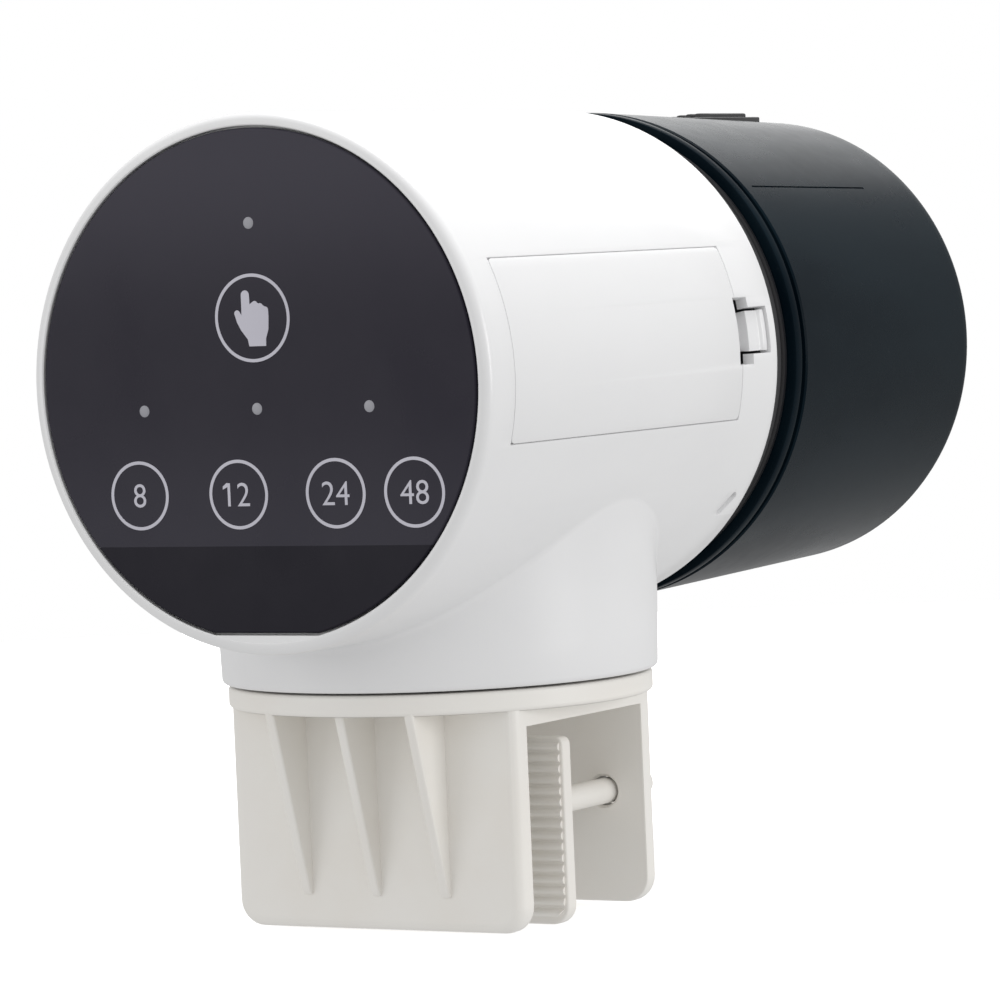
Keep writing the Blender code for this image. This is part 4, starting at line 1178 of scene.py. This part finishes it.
@dataclass
class BatteryDoor:
    """The curved battery door with its two hooks, its U-shaped spring and its finger tab."""

    layout: Layout
    palette: Palette
    radius: float = 35.0
    wall: float = 1.7
    bay: float = 95.6
    half: float = 19.8
    ends: Span = (-36.1, 25.2)
    notch_half: float = 7.6
    notch: float = 24.6
    tab_half: float = 4.7
    tab_low: float = 33.3
    tab_back: float = 33.2
    spring: float = 0.9
    spring_depth: float = 2.3
    slot_back: float = 28.5
    corner: float = 0.8
    step: float = 1.22
    seam_round: float = 0.09
    hook_off: float = 6.0
    hook_half: float = 2.0
    hook_tip: float = 1.5
    hook_back: float = 2.8
    hook_up: Span = (31.2, 32.3)
    root_up: Span = (31.6, 33.7)

    def build(self) -> bpy.types.Object:
        """Builds the door."""
        middle = self._along(self.bay)
        half = self._along(self.half)
        inner = self.radius - self.wall
        low, high = (middle - half, self.ends[0], inner), (middle + half, self.ends[1], self.radius)
        door = Shape.block(low, high)
        door.bevelled(self.corner, 3, through_edge)
        notch, end = self._along(self.notch_half), self.ends[1] + 0.8
        low, high = inner - RUN_OVER, self.radius + RUN_OVER
        door.minus(Shape.block((middle - notch, self.notch, low), (middle + notch, end, high)))
        top = self.radius - SNAP
        door.bevelled(self.seam_round, 2, lambda a, b: min(a.z, b.z) > top, CORNER_ANGLE)
        for side in (-1, 1):
            door.plus(self._hook(middle + side * self.hook_off))
        door.plus(self._latch(middle))
        door.sliced(self.step).rolled(self.radius, from_top=False)
        made = door.piece("battery_door_cover", self.layout.head, self.palette["white_gloss_plastic"])
        return settle(made, "door", "white_gloss_plastic", "battery_door")

    def _along(self, degrees: float) -> float:
        """The sheet's X at an angle."""
        return self.radius * math.radians(degrees)

    def _hook(self, centre: float) -> Shape:
        """One hook at the door's front end, flat, with its root under the door."""
        left, right = centre - self.hook_half, centre + self.hook_half
        front, back = self.ends[0], self.ends[0] + self.hook_back
        hook = Shape.block((left, front - self.hook_tip, self.hook_up[0]), (right, back, self.hook_up[1]))
        root = Shape.block((left, front + 0.4, self.root_up[0]), (right, back, self.root_up[1]))
        return hook.bevelled(0.2, 2).plus(root)

    def _latch(self, middle: float) -> Shape:
        """The spring and its tab, flat, as one bent strip seen from its side."""
        half = self._along(self.tab_half)
        low, high = self.tab_low - self.spring_depth, self.tab_low + 0.9
        front = self.notch - 2 * self.spring
        rear = self.slot_back + 0.3
        thick = self.spring
        root, bend, lip = self.radius - self.wall + 0.3, 0.5, high + 0.5
        outline = [(front, root), (front, low + bend), (front + bend, low)]
        outline += [(rear + thick - bend, low), (rear + thick, low + bend), (rear + thick, self.tab_low)]
        outline += [(self.tab_back, self.tab_low), (self.tab_back, lip), (self.tab_back - 1.0, lip)]
        outline += [(self.tab_back - 1.4, high), (rear, high), (rear, low + thick)]
        outline += [(front + thick, low + thick), (front + thick, root)]
        return Shape.prism(outline, middle - half, middle + half, Axis.X).bevelled(0.16, 2)


# ---------------------------------------------------------------- clamp


@dataclass
class ClampBracket:
    """The yoke: a round top, a fixed jaw with three ribs, and a rear jaw for the screw."""

    layout: Layout
    palette: Palette
    disc: float = 28.8
    top: float = 18.45
    under: float = 15.6
    bridge_under: float = 13.4
    half: float = 22.4
    thick: float = 3.1
    foot: float = -13.9
    corner: float = 3.6
    rear: float = 30.75
    rib_thick: float = 1.4
    rib_spacing: float = 10.8
    rear_rib: float = 11.6
    rib_foot: float = -9.2
    rib_reach: Span = (7.9, 0.8)
    rib_round: float = 0.32
    outer_round: float = 1.5
    inner_round: float = 0.35
    pin_x: float = 16.0
    pin_hole: float = 2.05
    flare: float = 0.35
    nut_flats: float = 8.6
    screw_hole: float = 3.0
    bolt_hole: float = 2.4
    bolt_head: float = 5.6
    bolt_depth: float = 2.7

    def build(self) -> bpy.types.Object:
        """Builds the bracket."""
        bracket = self._plate(-self.thick, 0.0, front=True)
        bracket.plus(self._plate(self.rear, self.rear + self.thick, front=False))
        top = self.under + 1.4
        bridge = Shape.block((-self.half, -0.8, self.bridge_under), (self.half, self.rear + 0.8, top))
        bracket.plus(bridge, self._disc())
        for step in (-1, 0, 1):
            bracket.plus(self._rib(step * self.rib_spacing, -self.thick, -1))
        for side in (-1, 1):
            bracket.plus(self._rib(side * self.rear_rib, self.rear + self.thick, 1))
        self._holes(bracket)
        made = bracket.piece("clamp_yoke", self.layout.origin, self.palette["ivory_plastic"], even=True)
        return settle(made, "clamp", "ivory_plastic", "clamp_bracket")

    def _plate(self, start: float, end: float, front: bool) -> Shape:
        """A jaw plate with rounded lower corners and a softer outer face."""
        low, high = self.foot, self.under + 1.2
        outline = [(self.half, high), (-self.half, high)]
        outline += arc((-self.half + self.corner, low + self.corner), self.corner, 180, 270, 8)
        outline += arc((self.half - self.corner, low + self.corner), self.corner, 270, 360, 8)
        outer, inner = (start, end) if front else (end, start)

        def round_face(face: float) -> EdgeRule:
            """Picks the edges round one face, below the disc."""
            below = high - SNAP
            return lambda a, b: max(abs(a.y - face), abs(b.y - face)) < SNAP and min(a.z, b.z) < below

        plate = Shape.prism(outline, start, end)
        plate.bevelled(self.outer_round, 5, round_face(outer), CORNER_ANGLE)
        return plate.bevelled(self.inner_round, 2, round_face(inner), CORNER_ANGLE)

    def _disc(self) -> Shape:
        """The round top that the neck turns on, with a raised bearing land."""
        profile = [(0.0, self.under), (self.disc - 0.5, self.under)]
        profile += arc((self.disc - 0.6, self.under + 0.6), 0.6, -90, 0, 4)
        profile += arc((self.disc - 0.5, self.top - 0.5), 0.5, 0, 90, 4)
        profile += [(0.0, self.top)]
        return Shape.turned(profile, 144, Axis.Z).moved(0.0, self.layout.head.y, 0.0)

    def _rib(self, x: float, face: float, outwards: int) -> Shape:
        """A triangular web under the disc."""
        reach_top, reach_foot = self.rib_reach
        top, foot = face + outwards * reach_top, face + outwards * reach_foot
        root = face - outwards * 1.0
        high = self.under + 0.8
        outline = [(root, self.rib_foot), (foot - outwards * 0.5, self.rib_foot), (foot, self.rib_foot + 0.6)]
        outline += [(top, self.under - 0.1), (top, high), (root, high)]
        rib = Shape.prism(outline, x - self.rib_thick / 2, x + self.rib_thick / 2, Axis.X)
        return rib.bevelled(self.rib_round, 3, lambda a, b: max(a.z, b.z) < high and abs(a.x - b.x) < 0.1)

    def _holes(self, bracket: Shape) -> None:
        """Cuts the holes for the pins, the screw and its nut, and the swivel bolt."""
        start, end = self.rear - RUN_OVER, self.rear + self.thick + RUN_OVER
        at = self.layout.screw
        for side in (-1, 1):
            bracket.minus(self._chamfered_hole(self.pin_hole, start, end).moved(side * self.pin_x, 0.0, at.z))
        hexagon = arc((0.0, 0.0), self.nut_flats / 2 / math.cos(math.pi / 6), 0, 300, 5)
        bracket.minus(Shape.prism(hexagon, self.rear + 0.8, end).moved(0.0, 0.0, at.z))
        bracket.minus(Shape.rod(self.screw_hole, start, self.rear + 2.0).moved(0.0, 0.0, at.z))
        middle, under = self.layout.head.y, self.bridge_under
        bolt = ((self.bolt_hole, self.top + RUN_OVER), (self.bolt_head, under + self.bolt_depth))
        for radius, high in bolt:
            bracket.minus(Shape.rod(radius, under - RUN_OVER, high, Axis.Z).moved(0.0, middle, 0.0))

    def _chamfered_hole(self, radius: float, start: float, end: float) -> Shape:
        """A cutter that leaves a small chamfer where it meets the rear jaw's inner face."""
        mouth = radius + self.flare
        profile = [(0.0, start), (mouth, start), (mouth, self.rear)]
        profile += [(radius, self.rear + self.flare), (radius, end), (0.0, end)]
        return Shape.turned(profile, 48)


@dataclass
class MovingJaw:
    """The ridged pad, its two guide pins, the screw and its knob."""

    layout: Layout
    palette: Palette
    face: float = 8.4
    thick: float = 2.7
    top: float = 11.0
    bottom: float = -14.1
    half: float = 22.4
    ridges: int = 16
    ridge: float = 0.5
    margin: float = 0.5
    pin_x: float = 16.0
    pin: float = 1.75
    pin_end: float = 42.0
    screw: float = 2.5
    pitch: float = 2.0
    corner: float = 2.6
    ear: float = 1.0
    pin_boss_end: float = 12.3
    boss: float = 4.6
    boss_end: float = 13.9
    bore: float = 2.1
    neck: float = 1.8
    neck_end: float = 14.2
    shoulder: float = 14.9
    groove: float = 0.34
    rows: int = 150
    knob: float = 9.0
    knob_front: float = 46.5
    knob_length: float = 10.0
    knob_edge: float = 0.9
    lobes: int = 12
    flute: float = 0.75
    flute_from: float = 7.0

    def build(self) -> bpy.types.Object:
        """Builds the pad and everything that moves with it."""
        at = self.layout.screw
        ivory = self.palette["ivory_plastic"]
        pad = self._pad()
        made = pad.piece("jaw_pad", self.layout.origin, ivory, even=True)
        settle(made, "jaw", "ivory_plastic", "moving_jaw")
        for side, name in ((-1, "left"), (1, "right")):
            pin = Shape.pin(self.pin, self.face + 1.5, self.pin_end, 0.5)
            pin.moved(side * self.pin_x, 0.0, 0.0)
            made = pin.piece(f"jaw_guide_pin_{name}", at, ivory)
            settle(made, "jaw", "ivory_plastic", f"guide_pin_{name}")
        screw = self._thread().piece("threaded_screw", at, self.palette["steel"])
        settle(screw, "screw", "steel", "clamp_screw")
        knob = self._knob().piece("screw_knob", at, ivory)
        return settle(knob, "screw", "ivory_plastic", "clamp_knob")

    def _pad(self) -> Shape:
        """The pad's plate with its ridges, pin bosses and screw boss."""
        corner, ear = self.corner, self.ear
        back = self.face + self.thick
        outline = arc((-self.half + corner, self.bottom + corner), corner, 180, 270, 6)
        outline += arc((self.half - corner, self.bottom + corner), corner, 270, 360, 6)
        outline += arc((self.half - ear, self.top - ear), ear, 0, 90, 4)
        outline += arc((-self.half + ear, self.top - ear), ear, 90, 180, 4)
        plate = Shape.prism(outline, self.face + self.ridge, back).bevelled(0.3, 3, sharper=CORNER_ANGLE)
        start = self.bottom + 0.9
        pitch = (self.top - 0.5 - start) / self.ridges
        root = self.face + self.ridge
        foot, flank = root + 0.05, self.face + 0.14
        crest = self.face
        wave = ((foot, 0.06), (flank, 0.24), (crest, 0.40), (crest, 0.56), (flank, 0.72), (foot, 0.90))
        rail = [(root + 0.4, start)]
        for index in range(self.ridges):
            low = start + index * pitch
            rail += [(along, low + share * pitch) for along, share in wave]
        rail += [(root + 0.4, start + self.ridges * pitch)]
        side = self.half - self.margin
        ridges = Shape.prism(rail, -side, side, Axis.X)
        corners = Shape.prism(self._ridge_outline(side, start), self.face - 1.0, back)
        plate.plus(ridges.combined(Join.KEEP, corners))
        at = self.layout.screw.z
        for sign in (-1, 1):
            boss = Shape.pin(self.pin + 1.0, back - RUN_OVER, self.pin_boss_end, 0.3)
            boss.moved(sign * self.pin_x, 0.0, at)
            socket = Shape.rod(self.pin + 0.2, self.face + 1.3, 14.0).moved(sign * self.pin_x, 0.0, at)
            plate.plus(boss).minus(socket)
        boss = Shape.pin(self.boss, back - RUN_OVER, self.boss_end, 0.4, 56).moved(0.0, 0.0, at)
        bore = Shape.rod(self.bore, self.face + 1.2, self.boss_end + 1.1).moved(0.0, 0.0, at)
        return plate.plus(boss).minus(bore)

    def _ridge_outline(self, side: float, start: float) -> list[Span]:
        """The ridged field's outline, with the plate's rounded lower corners."""
        corner = 2.2
        outline = arc((-side + corner, start + corner), corner, 180, 270, 5)
        outline += arc((side - corner, start + corner), corner, 270, 360, 5)
        return outline + [(side, self.top), (-side, self.top)]

    def _thread(self) -> Shape:
        """The screw: a turned blank whose radius is drawn in along a helix."""
        start, end = self.face + 1.5, self.knob_front + 6.0
        neck, rows = self.neck, self.rows
        profile = [(0.0, start), (neck - 0.2, start), (neck, start + 0.2), (neck, self.neck_end)]
        profile += [(self.screw - 0.3, self.shoulder)]
        first, last = self.shoulder + 0.3, end - 0.2
        profile += [(self.screw, first + (last - first) * row / rows) for row in range(rows + 1)]
        profile += [(self.screw - 0.2, end), (0.0, end)]

        def cut(point: Vector) -> Vector:
            """Draws the thread's groove in."""
            radius = math.hypot(point.x, point.z)
            if radius < self.screw - SNAP:
                return point
            turn = math.atan2(point.x, point.z) / (2 * math.pi)
            phase = (point.y / self.pitch - turn) % 1.0
            depth = self.groove * min(1.0, max(0.0, 1.25 - abs(phase - 0.5) * 4.0))
            keep = (radius - depth) / radius
            return Vector((point.x * keep, point.y, point.z * keep))

        return Shape.turned(profile, 36).shaped(cut)

    def _knob(self) -> Shape:
        """The lobed knob with a dished end and a collar."""
        front, back, edge = self.knob_front, self.knob_front + self.knob_length, self.knob_edge
        profile = [(self.screw + 0.3, front), (5.0, front), (5.4, front + 0.3), (5.6, front + 1.0)]
        profile += arc((self.knob - edge, front + 1.0 + edge), edge, -90, 0, 4)
        profile += [(self.knob, front + share * self.knob_length) for share in (0.35, 0.5, 0.65, 0.8)]
        profile += arc((self.knob - edge, back - edge), edge, 0, 90, 4)
        profile += [(6.6, back), (6.2, back - 0.2), (5.8, back - 0.9), (3.0, back - 1.2), (0.0, back - 1.2)]
        profile += [(0.0, front + 6.3), (self.screw + 0.3, front + 6.3)]

        def fluted(point: Vector) -> Vector:
            """Draws the grip's hollows in."""
            radius = math.hypot(point.x, point.z)
            if radius < self.flute_from:
                return point
            share = min(1.0, (radius - self.flute_from) / (self.knob - self.flute_from))
            wave = 0.5 - 0.5 * math.cos(self.lobes * math.atan2(point.z, point.x))
            keep = (radius - self.flute * share * wave**0.7) / radius
            return Vector((point.x * keep, point.y, point.z * keep))

        return Shape.turned(profile, 192).shaped(fluted)


# ---------------------------------------------------------------- drum


@dataclass
class HubPlate:
    """The black plate that closes the drum: a stepped collar, a sealing lip and a boss."""

    layout: Layout
    palette: Palette
    front: float = 36.1
    back: float = 41.5
    radius: float = 33.4
    seat: float = 32.1
    lip: float = 4.5
    lip_wall: float = 1.8
    web: float = 2.4
    groove_depth: float = 0.7
    bore: float = 3.3
    boss: float = 5.5
    magnet: float = 2.3
    magnet_depth: float = 1.8
    magnet_reach: float = 19.0

    def build(self) -> bpy.types.Object:
        """Builds the plate."""
        front, back, radius, seat = self.front, self.back, self.radius, self.seat
        groove, lip, web, boss = radius - self.groove_depth, back + self.lip, back - self.web, self.boss
        profile = [(self.bore, front), (radius - 0.3, front), (radius, front + 0.3)]
        profile += [(radius, back - 1.9), (groove, back - 1.6), (groove, back - 1.1)]
        profile += [(radius, back - 0.8), (radius, back - 0.2), (radius - 0.2, back), (seat, back)]
        profile += [(seat - 0.1, lip - 0.4), (seat - 0.5, lip), (seat - self.lip_wall, lip)]
        profile += [(seat - self.lip_wall, web), (boss + 0.7, web), (boss, web + 0.5), (boss, back + 0.2)]
        profile += [(boss - 0.3, back + 0.5), (0.0, back + 0.5), (0.0, back - 0.9), (self.bore, back - 0.9)]
        hub = Shape.turned(profile, 144)
        pocket = Shape.rod(self.magnet, front - RUN_OVER, front + self.magnet_depth, steps=24)
        hub.minus(pocket.moved(0.0, 0.0, -self.magnet_reach))
        made = hub.piece("drum_hub", self.layout.head, self.palette["black_plastic"])
        return settle(made, "drive", "black_plastic", "hub_plate")


@dataclass
class FoodDrum:
    """The tinted drum, rolled from a flat sheet, with its feed window, gate pocket and seam."""

    layout: Layout
    palette: Palette
    front: float = 41.8
    back: float = 101.3
    radius: float = 34.7
    back_radius: float = 33.1
    inner: float = 32.4
    back_inner: float = 30.7
    groove: Span = (43.7, 44.9)
    groove_depth: float = 0.8
    gate: Span = (-28.0, 2.0)
    travel: float = 26.0
    gate_along: Span = (76.5, 98.0)
    pocket_floor: float = 32.35
    window: Span = (-25.0, -5.0)
    window_along: Span = (80.0, 94.5)
    seam: float = 48.0
    seam_along: Span = (47.5, 84.0)
    seam_depth: float = 0.14
    seam_half: float = 0.16
    cutter_top: float = 40.0
    back_round: float = 1.6

    def build(self) -> bpy.types.Object:
        """Builds the drum."""
        half = math.pi * self.radius
        drum = Shape.prism(self._profile(), -half, half, Axis.X)
        start, end = self.gate[0] - self.travel - 2.0, self.gate[1] + 1.0
        along = (self.gate_along[0] - 0.4, self.gate_along[1] + 0.4)
        pocket = self._cutter((start, end), along, self.pocket_floor).bevelled(0.8, 3, through_edge)
        window = self._cutter(self.window, self.window_along, 25.0).bevelled(1.2, 4, through_edge)
        drum.minus(pocket, window, self._seam_cutter())

        def on_pocket(first: Vector, second: Vector) -> bool:
            """Whether an edge runs round the pocket in the outer face."""
            low = min(first.z, second.z) > 33.0
            inside = max(abs(first.x), abs(second.x)) < half - 1.0
            return low and inside and min(first.y, second.y) > along[0] - 0.1

        drum.bevelled(0.18, 2, on_pocket, 50.0)
        open_ends(drum, half)
        drum.sliced(SLICE).rolled(self.radius, from_top=True)
        made = drum.piece("tinted_food_drum", self.layout.head, self.palette["tinted_drum_plastic"])
        return settle(made, "drum", "tinted_drum_plastic", "food_drum")

    def _x(self, degrees: float) -> float:
        """The sheet's X at an angle from the top."""
        return self.radius * math.radians(degrees)

    def _cutter(self, angles: Span, along: Span, floor: float) -> Shape:
        """A block that cuts between two angles, down to a radius."""
        low = (self._x(angles[0]), along[0], floor)
        return Shape.block(low, (self._x(angles[1]), along[1], self.cutter_top))

    def _outside(self, along: float) -> float:
        """The outer radius at a place along the taper."""
        start, end = self.groove[1] + 0.3, self.back - self.back_round
        return self.radius + (self.back_radius - self.radius) * (along - start) / (end - start)

    def _profile(self) -> list[Span]:
        """The drum's wall as (along, radius), from its mouth round the back and inside again."""
        outer, deep = self.radius, self.radius - self.groove_depth
        start, end = self.groove
        front, fillet = self.front, self.back_round
        profile = [(front, self.inner + 0.2), (front, outer - 0.35), (front + 0.1, outer - 0.1)]
        profile += [(front + 0.35, outer), (start - 0.25, outer), (start, outer - 0.2)]
        profile += [(start + 0.1, deep), (end - 0.1, deep), (end, outer - 0.2), (end + 0.3, outer)]
        profile += arc((self.back - fillet, self.back_radius - fillet), fillet, 90, 0, 7)
        profile += [(self.back, 22.0), (self.back - 0.25, 21.7), (self.back - 0.25, 0.0)]
        inside = self.back - 2.2
        profile += [(inside, 0.0), (inside, self.back_inner - 1.0), (inside - 0.3, self.back_inner - 0.3)]
        profile += [(inside - 1.0, self.back_inner), (self.front + 0.2, self.inner)]
        return profile

    def _seam_cutter(self) -> Shape:
        """The fine groove along the drum, which follows its taper."""
        start, end = self.seam_along
        depth, wide, top = self.seam_depth, self.seam_half, self.cutter_top
        outline = [(start, self._outside(start) - depth), (end, self._outside(end) - depth)]
        outline += [(end, top), (start, top)]
        middle = self._x(self.seam)
        return Shape.prism(outline, middle - wide, middle + wide, Axis.X)


@dataclass
class FeedGate:
    """The curved slider over the feed window, with a ribbed thumb grip."""

    layout: Layout
    palette: Palette
    radius: float = 34.7
    low: float = 32.65
    high: float = 34.0
    ends: Span = (-28.0, 2.0)
    along: Span = (76.5, 98.0)
    ribs: int = 4
    rib_pitch: float = 2.6
    rib_half: float = 0.42
    rib_along: Span = (80.0, 94.5)

    def build(self) -> bpy.types.Object:
        """Builds the gate."""
        start, end = (self.radius * math.radians(angle) for angle in self.ends)
        gate = Shape.block((start, self.along[0], self.low), (end, self.along[1], self.high))
        gate.bevelled(0.7, 3, through_edge)
        gate.bevelled(0.2, 2, lambda a, b: min(a.z, b.z) > self.high - SNAP, CORNER_ANGLE)
        for index in range(self.ribs):
            centre = end - self.radius * math.radians(2.0 + self.rib_pitch * index)
            low = (centre - self.rib_half, self.rib_along[0], self.high - 0.4)
            rib = Shape.block(low, (centre + self.rib_half, self.rib_along[1], self.high + 0.6))
            gate.plus(rib.bevelled(0.28, 3, lambda a, b: min(a.z, b.z) > self.high))
        gate.sliced(SLICE).rolled(self.radius, from_top=True)
        made = gate.piece("feed_gate_slider", self.layout.head, self.palette["black_plastic"])
        return settle(made, "gate", "black_plastic", "feed_gate")


# ---------------------------------------------------------------- carried-over nodes


@dataclass
class InnerWorks:
    """The CAD nodes whose shape stays: each gets its slot's finish."""

    palette: Palette
    spare: str = "grey_plastic"

    def dress(self) -> int:
        """Dresses every CAD node that is still shown.

        Returns:
            How many nodes were dressed.
        """
        for name, node in frame["nodes"].items():
            materials = node.data.materials
            slot = materials[0].name.split(".")[0] if materials else self.spare
            finish = self.palette[slot if slot in self.palette.by_slot else self.spare]
            if not materials:
                materials.append(finish)
            for index in range(len(materials)):
                materials[index] = finish
            LOG.info("dressed %s in %s", name, finish.name)
        return len(frame["nodes"])


# ---------------------------------------------------------------- studio


@dataclass(frozen=True)
class Lamp:
    """A square area light that points at the head.

    Args:
        name: The light's name.
        at: Its place, in metres.
        size: The length of its side, in metres.
        power: Its power, in watts.
    """

    name: str
    at: tuple[float, float, float]
    size: float
    power: float


@dataclass
class Studio:
    """The camera, the pale floor and soft light, in metres."""

    layout: Layout
    eye: tuple[float, float, float] = (0.37242275, -0.59620544, 0.07795420)
    right: tuple[float, float, float] = (0.86095734, 0.50690183, -0.04246174)
    up: tuple[float, float, float] = (0.01107931, 0.06476827, 0.99783882)
    lens: float = 190.28
    sensor: float = 36.0
    lamps: tuple[Lamp, ...] = (
        Lamp("top_light", (0.0, 0.12, 0.80), 0.6, 5.2),
        Lamp("right_light", (0.80, 0.10, 0.16), 0.35, 1.7),
        Lamp("left_light", (-0.55, -0.70, 0.20), 0.5, 1.0),
        Lamp("rear_light", (-0.25, 0.85, 0.35), 0.5, 0.9),
    )
    surround: float = 0.66
    glow: float = 0.55
    floor_radius: float = 0.55
    floor_gap: float = 0.0002

    def build(self) -> None:
        """Sets everything up."""
        self._camera()
        self._floor()
        self._world()
        self._lights()
        view = bpy.context.scene.view_settings
        view.view_transform = "Standard"
        view.look = "None"

    def _camera(self) -> None:
        """Puts the camera where its view matches."""
        data = bpy.data.cameras.new("camera")
        data.lens = self.lens
        data.sensor_width = self.sensor
        data.clip_start = 0.01
        camera = bpy.data.objects.new("camera", data)
        bpy.context.scene.collection.objects.link(camera)
        right, up = Vector(self.right), Vector(self.up)
        turn = Matrix((right, up, right.cross(up))).transposed()
        camera.matrix_world = Matrix.Translation(self.eye) @ turn.to_4x4()
        bpy.context.scene.camera = camera

    def _floor(self) -> None:
        """A round pale floor just under the clamp."""
        bm = bmesh.new()
        bmesh.ops.create_circle(bm, cap_ends=True, segments=96, radius=self.floor_radius)
        height = self.layout.ground - self.floor_gap
        bmesh.ops.translate(bm, vec=(0.0, 0.02, height), verts=bm.verts)
        mesh = bpy.data.meshes.new("floor")
        bm.to_mesh(mesh)
        bm.free()
        graph = Graph("floor")
        colour = graph.mix(graph.noise(40.0, 3.0) * 0.2, (0.92, 0.92, 0.92), (0.90, 0.90, 0.90))
        white = (1.0, 1.0, 1.0, 1.0)
        graph.finish(Base_Color=colour, Roughness=0.9, Emission_Color=white, Emission_Strength=self.glow)
        mesh.materials.append(graph.material)
        floor = bpy.data.objects.new("floor", mesh)
        bpy.context.scene.collection.objects.link(floor)
        floor.visible_diffuse = False
        floor.visible_glossy = False

    def _world(self) -> None:
        """A white surround to look at, which lights the object more dimly."""
        world = bpy.data.worlds.new("surround")
        bpy.context.scene.world = world
        world.use_nodes = True
        tree = world.node_tree
        background = tree.nodes["Background"]
        path = tree.nodes.new("ShaderNodeLightPath")
        strength = tree.nodes.new("ShaderNodeMapRange")
        strength.inputs["To Min"].default_value = self.surround
        strength.inputs["To Max"].default_value = 1.0
        tree.links.new(path.outputs["Is Camera Ray"], strength.inputs["Value"])
        tree.links.new(strength.outputs[0], background.inputs["Strength"])
        background.inputs["Color"].default_value = (1.0, 1.0, 1.0, 1.0)

    def _lights(self) -> None:
        """A wide light above, smaller ones to the right and the front left, and a weak one behind."""
        aim = self.layout.head * MM
        for lamp in self.lamps:
            data = bpy.data.lights.new(lamp.name, "AREA")
            data.shape = "SQUARE"
            data.size = lamp.size
            data.energy = lamp.power
            made = bpy.data.objects.new(lamp.name, data)
            bpy.context.scene.collection.objects.link(made)
            made.location = lamp.at
            made.rotation_euler = (Vector(lamp.at) - aim).to_track_quat("Z", "Y").to_euler()


def main() -> None:
    """Builds every sub-assembly in order."""
    logging.basicConfig(level=logging.INFO, format="%(name)s: %(message)s")
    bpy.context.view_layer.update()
    layout = Layout()
    palette = Palette(layout)
    Studio(layout).build()
    dressed = InnerWorks(palette).dress()
    LOG.info("dressed %d nodes", dressed)
    for part in (HeadShell, TouchPanel, BatteryDoor, ClampBracket, MovingJaw, HubPlate, FoodDrum, FeedGate):
        made = part(layout, palette).build()
        LOG.info("finished %s", made.name)


if __name__ == "__main__":
    main()
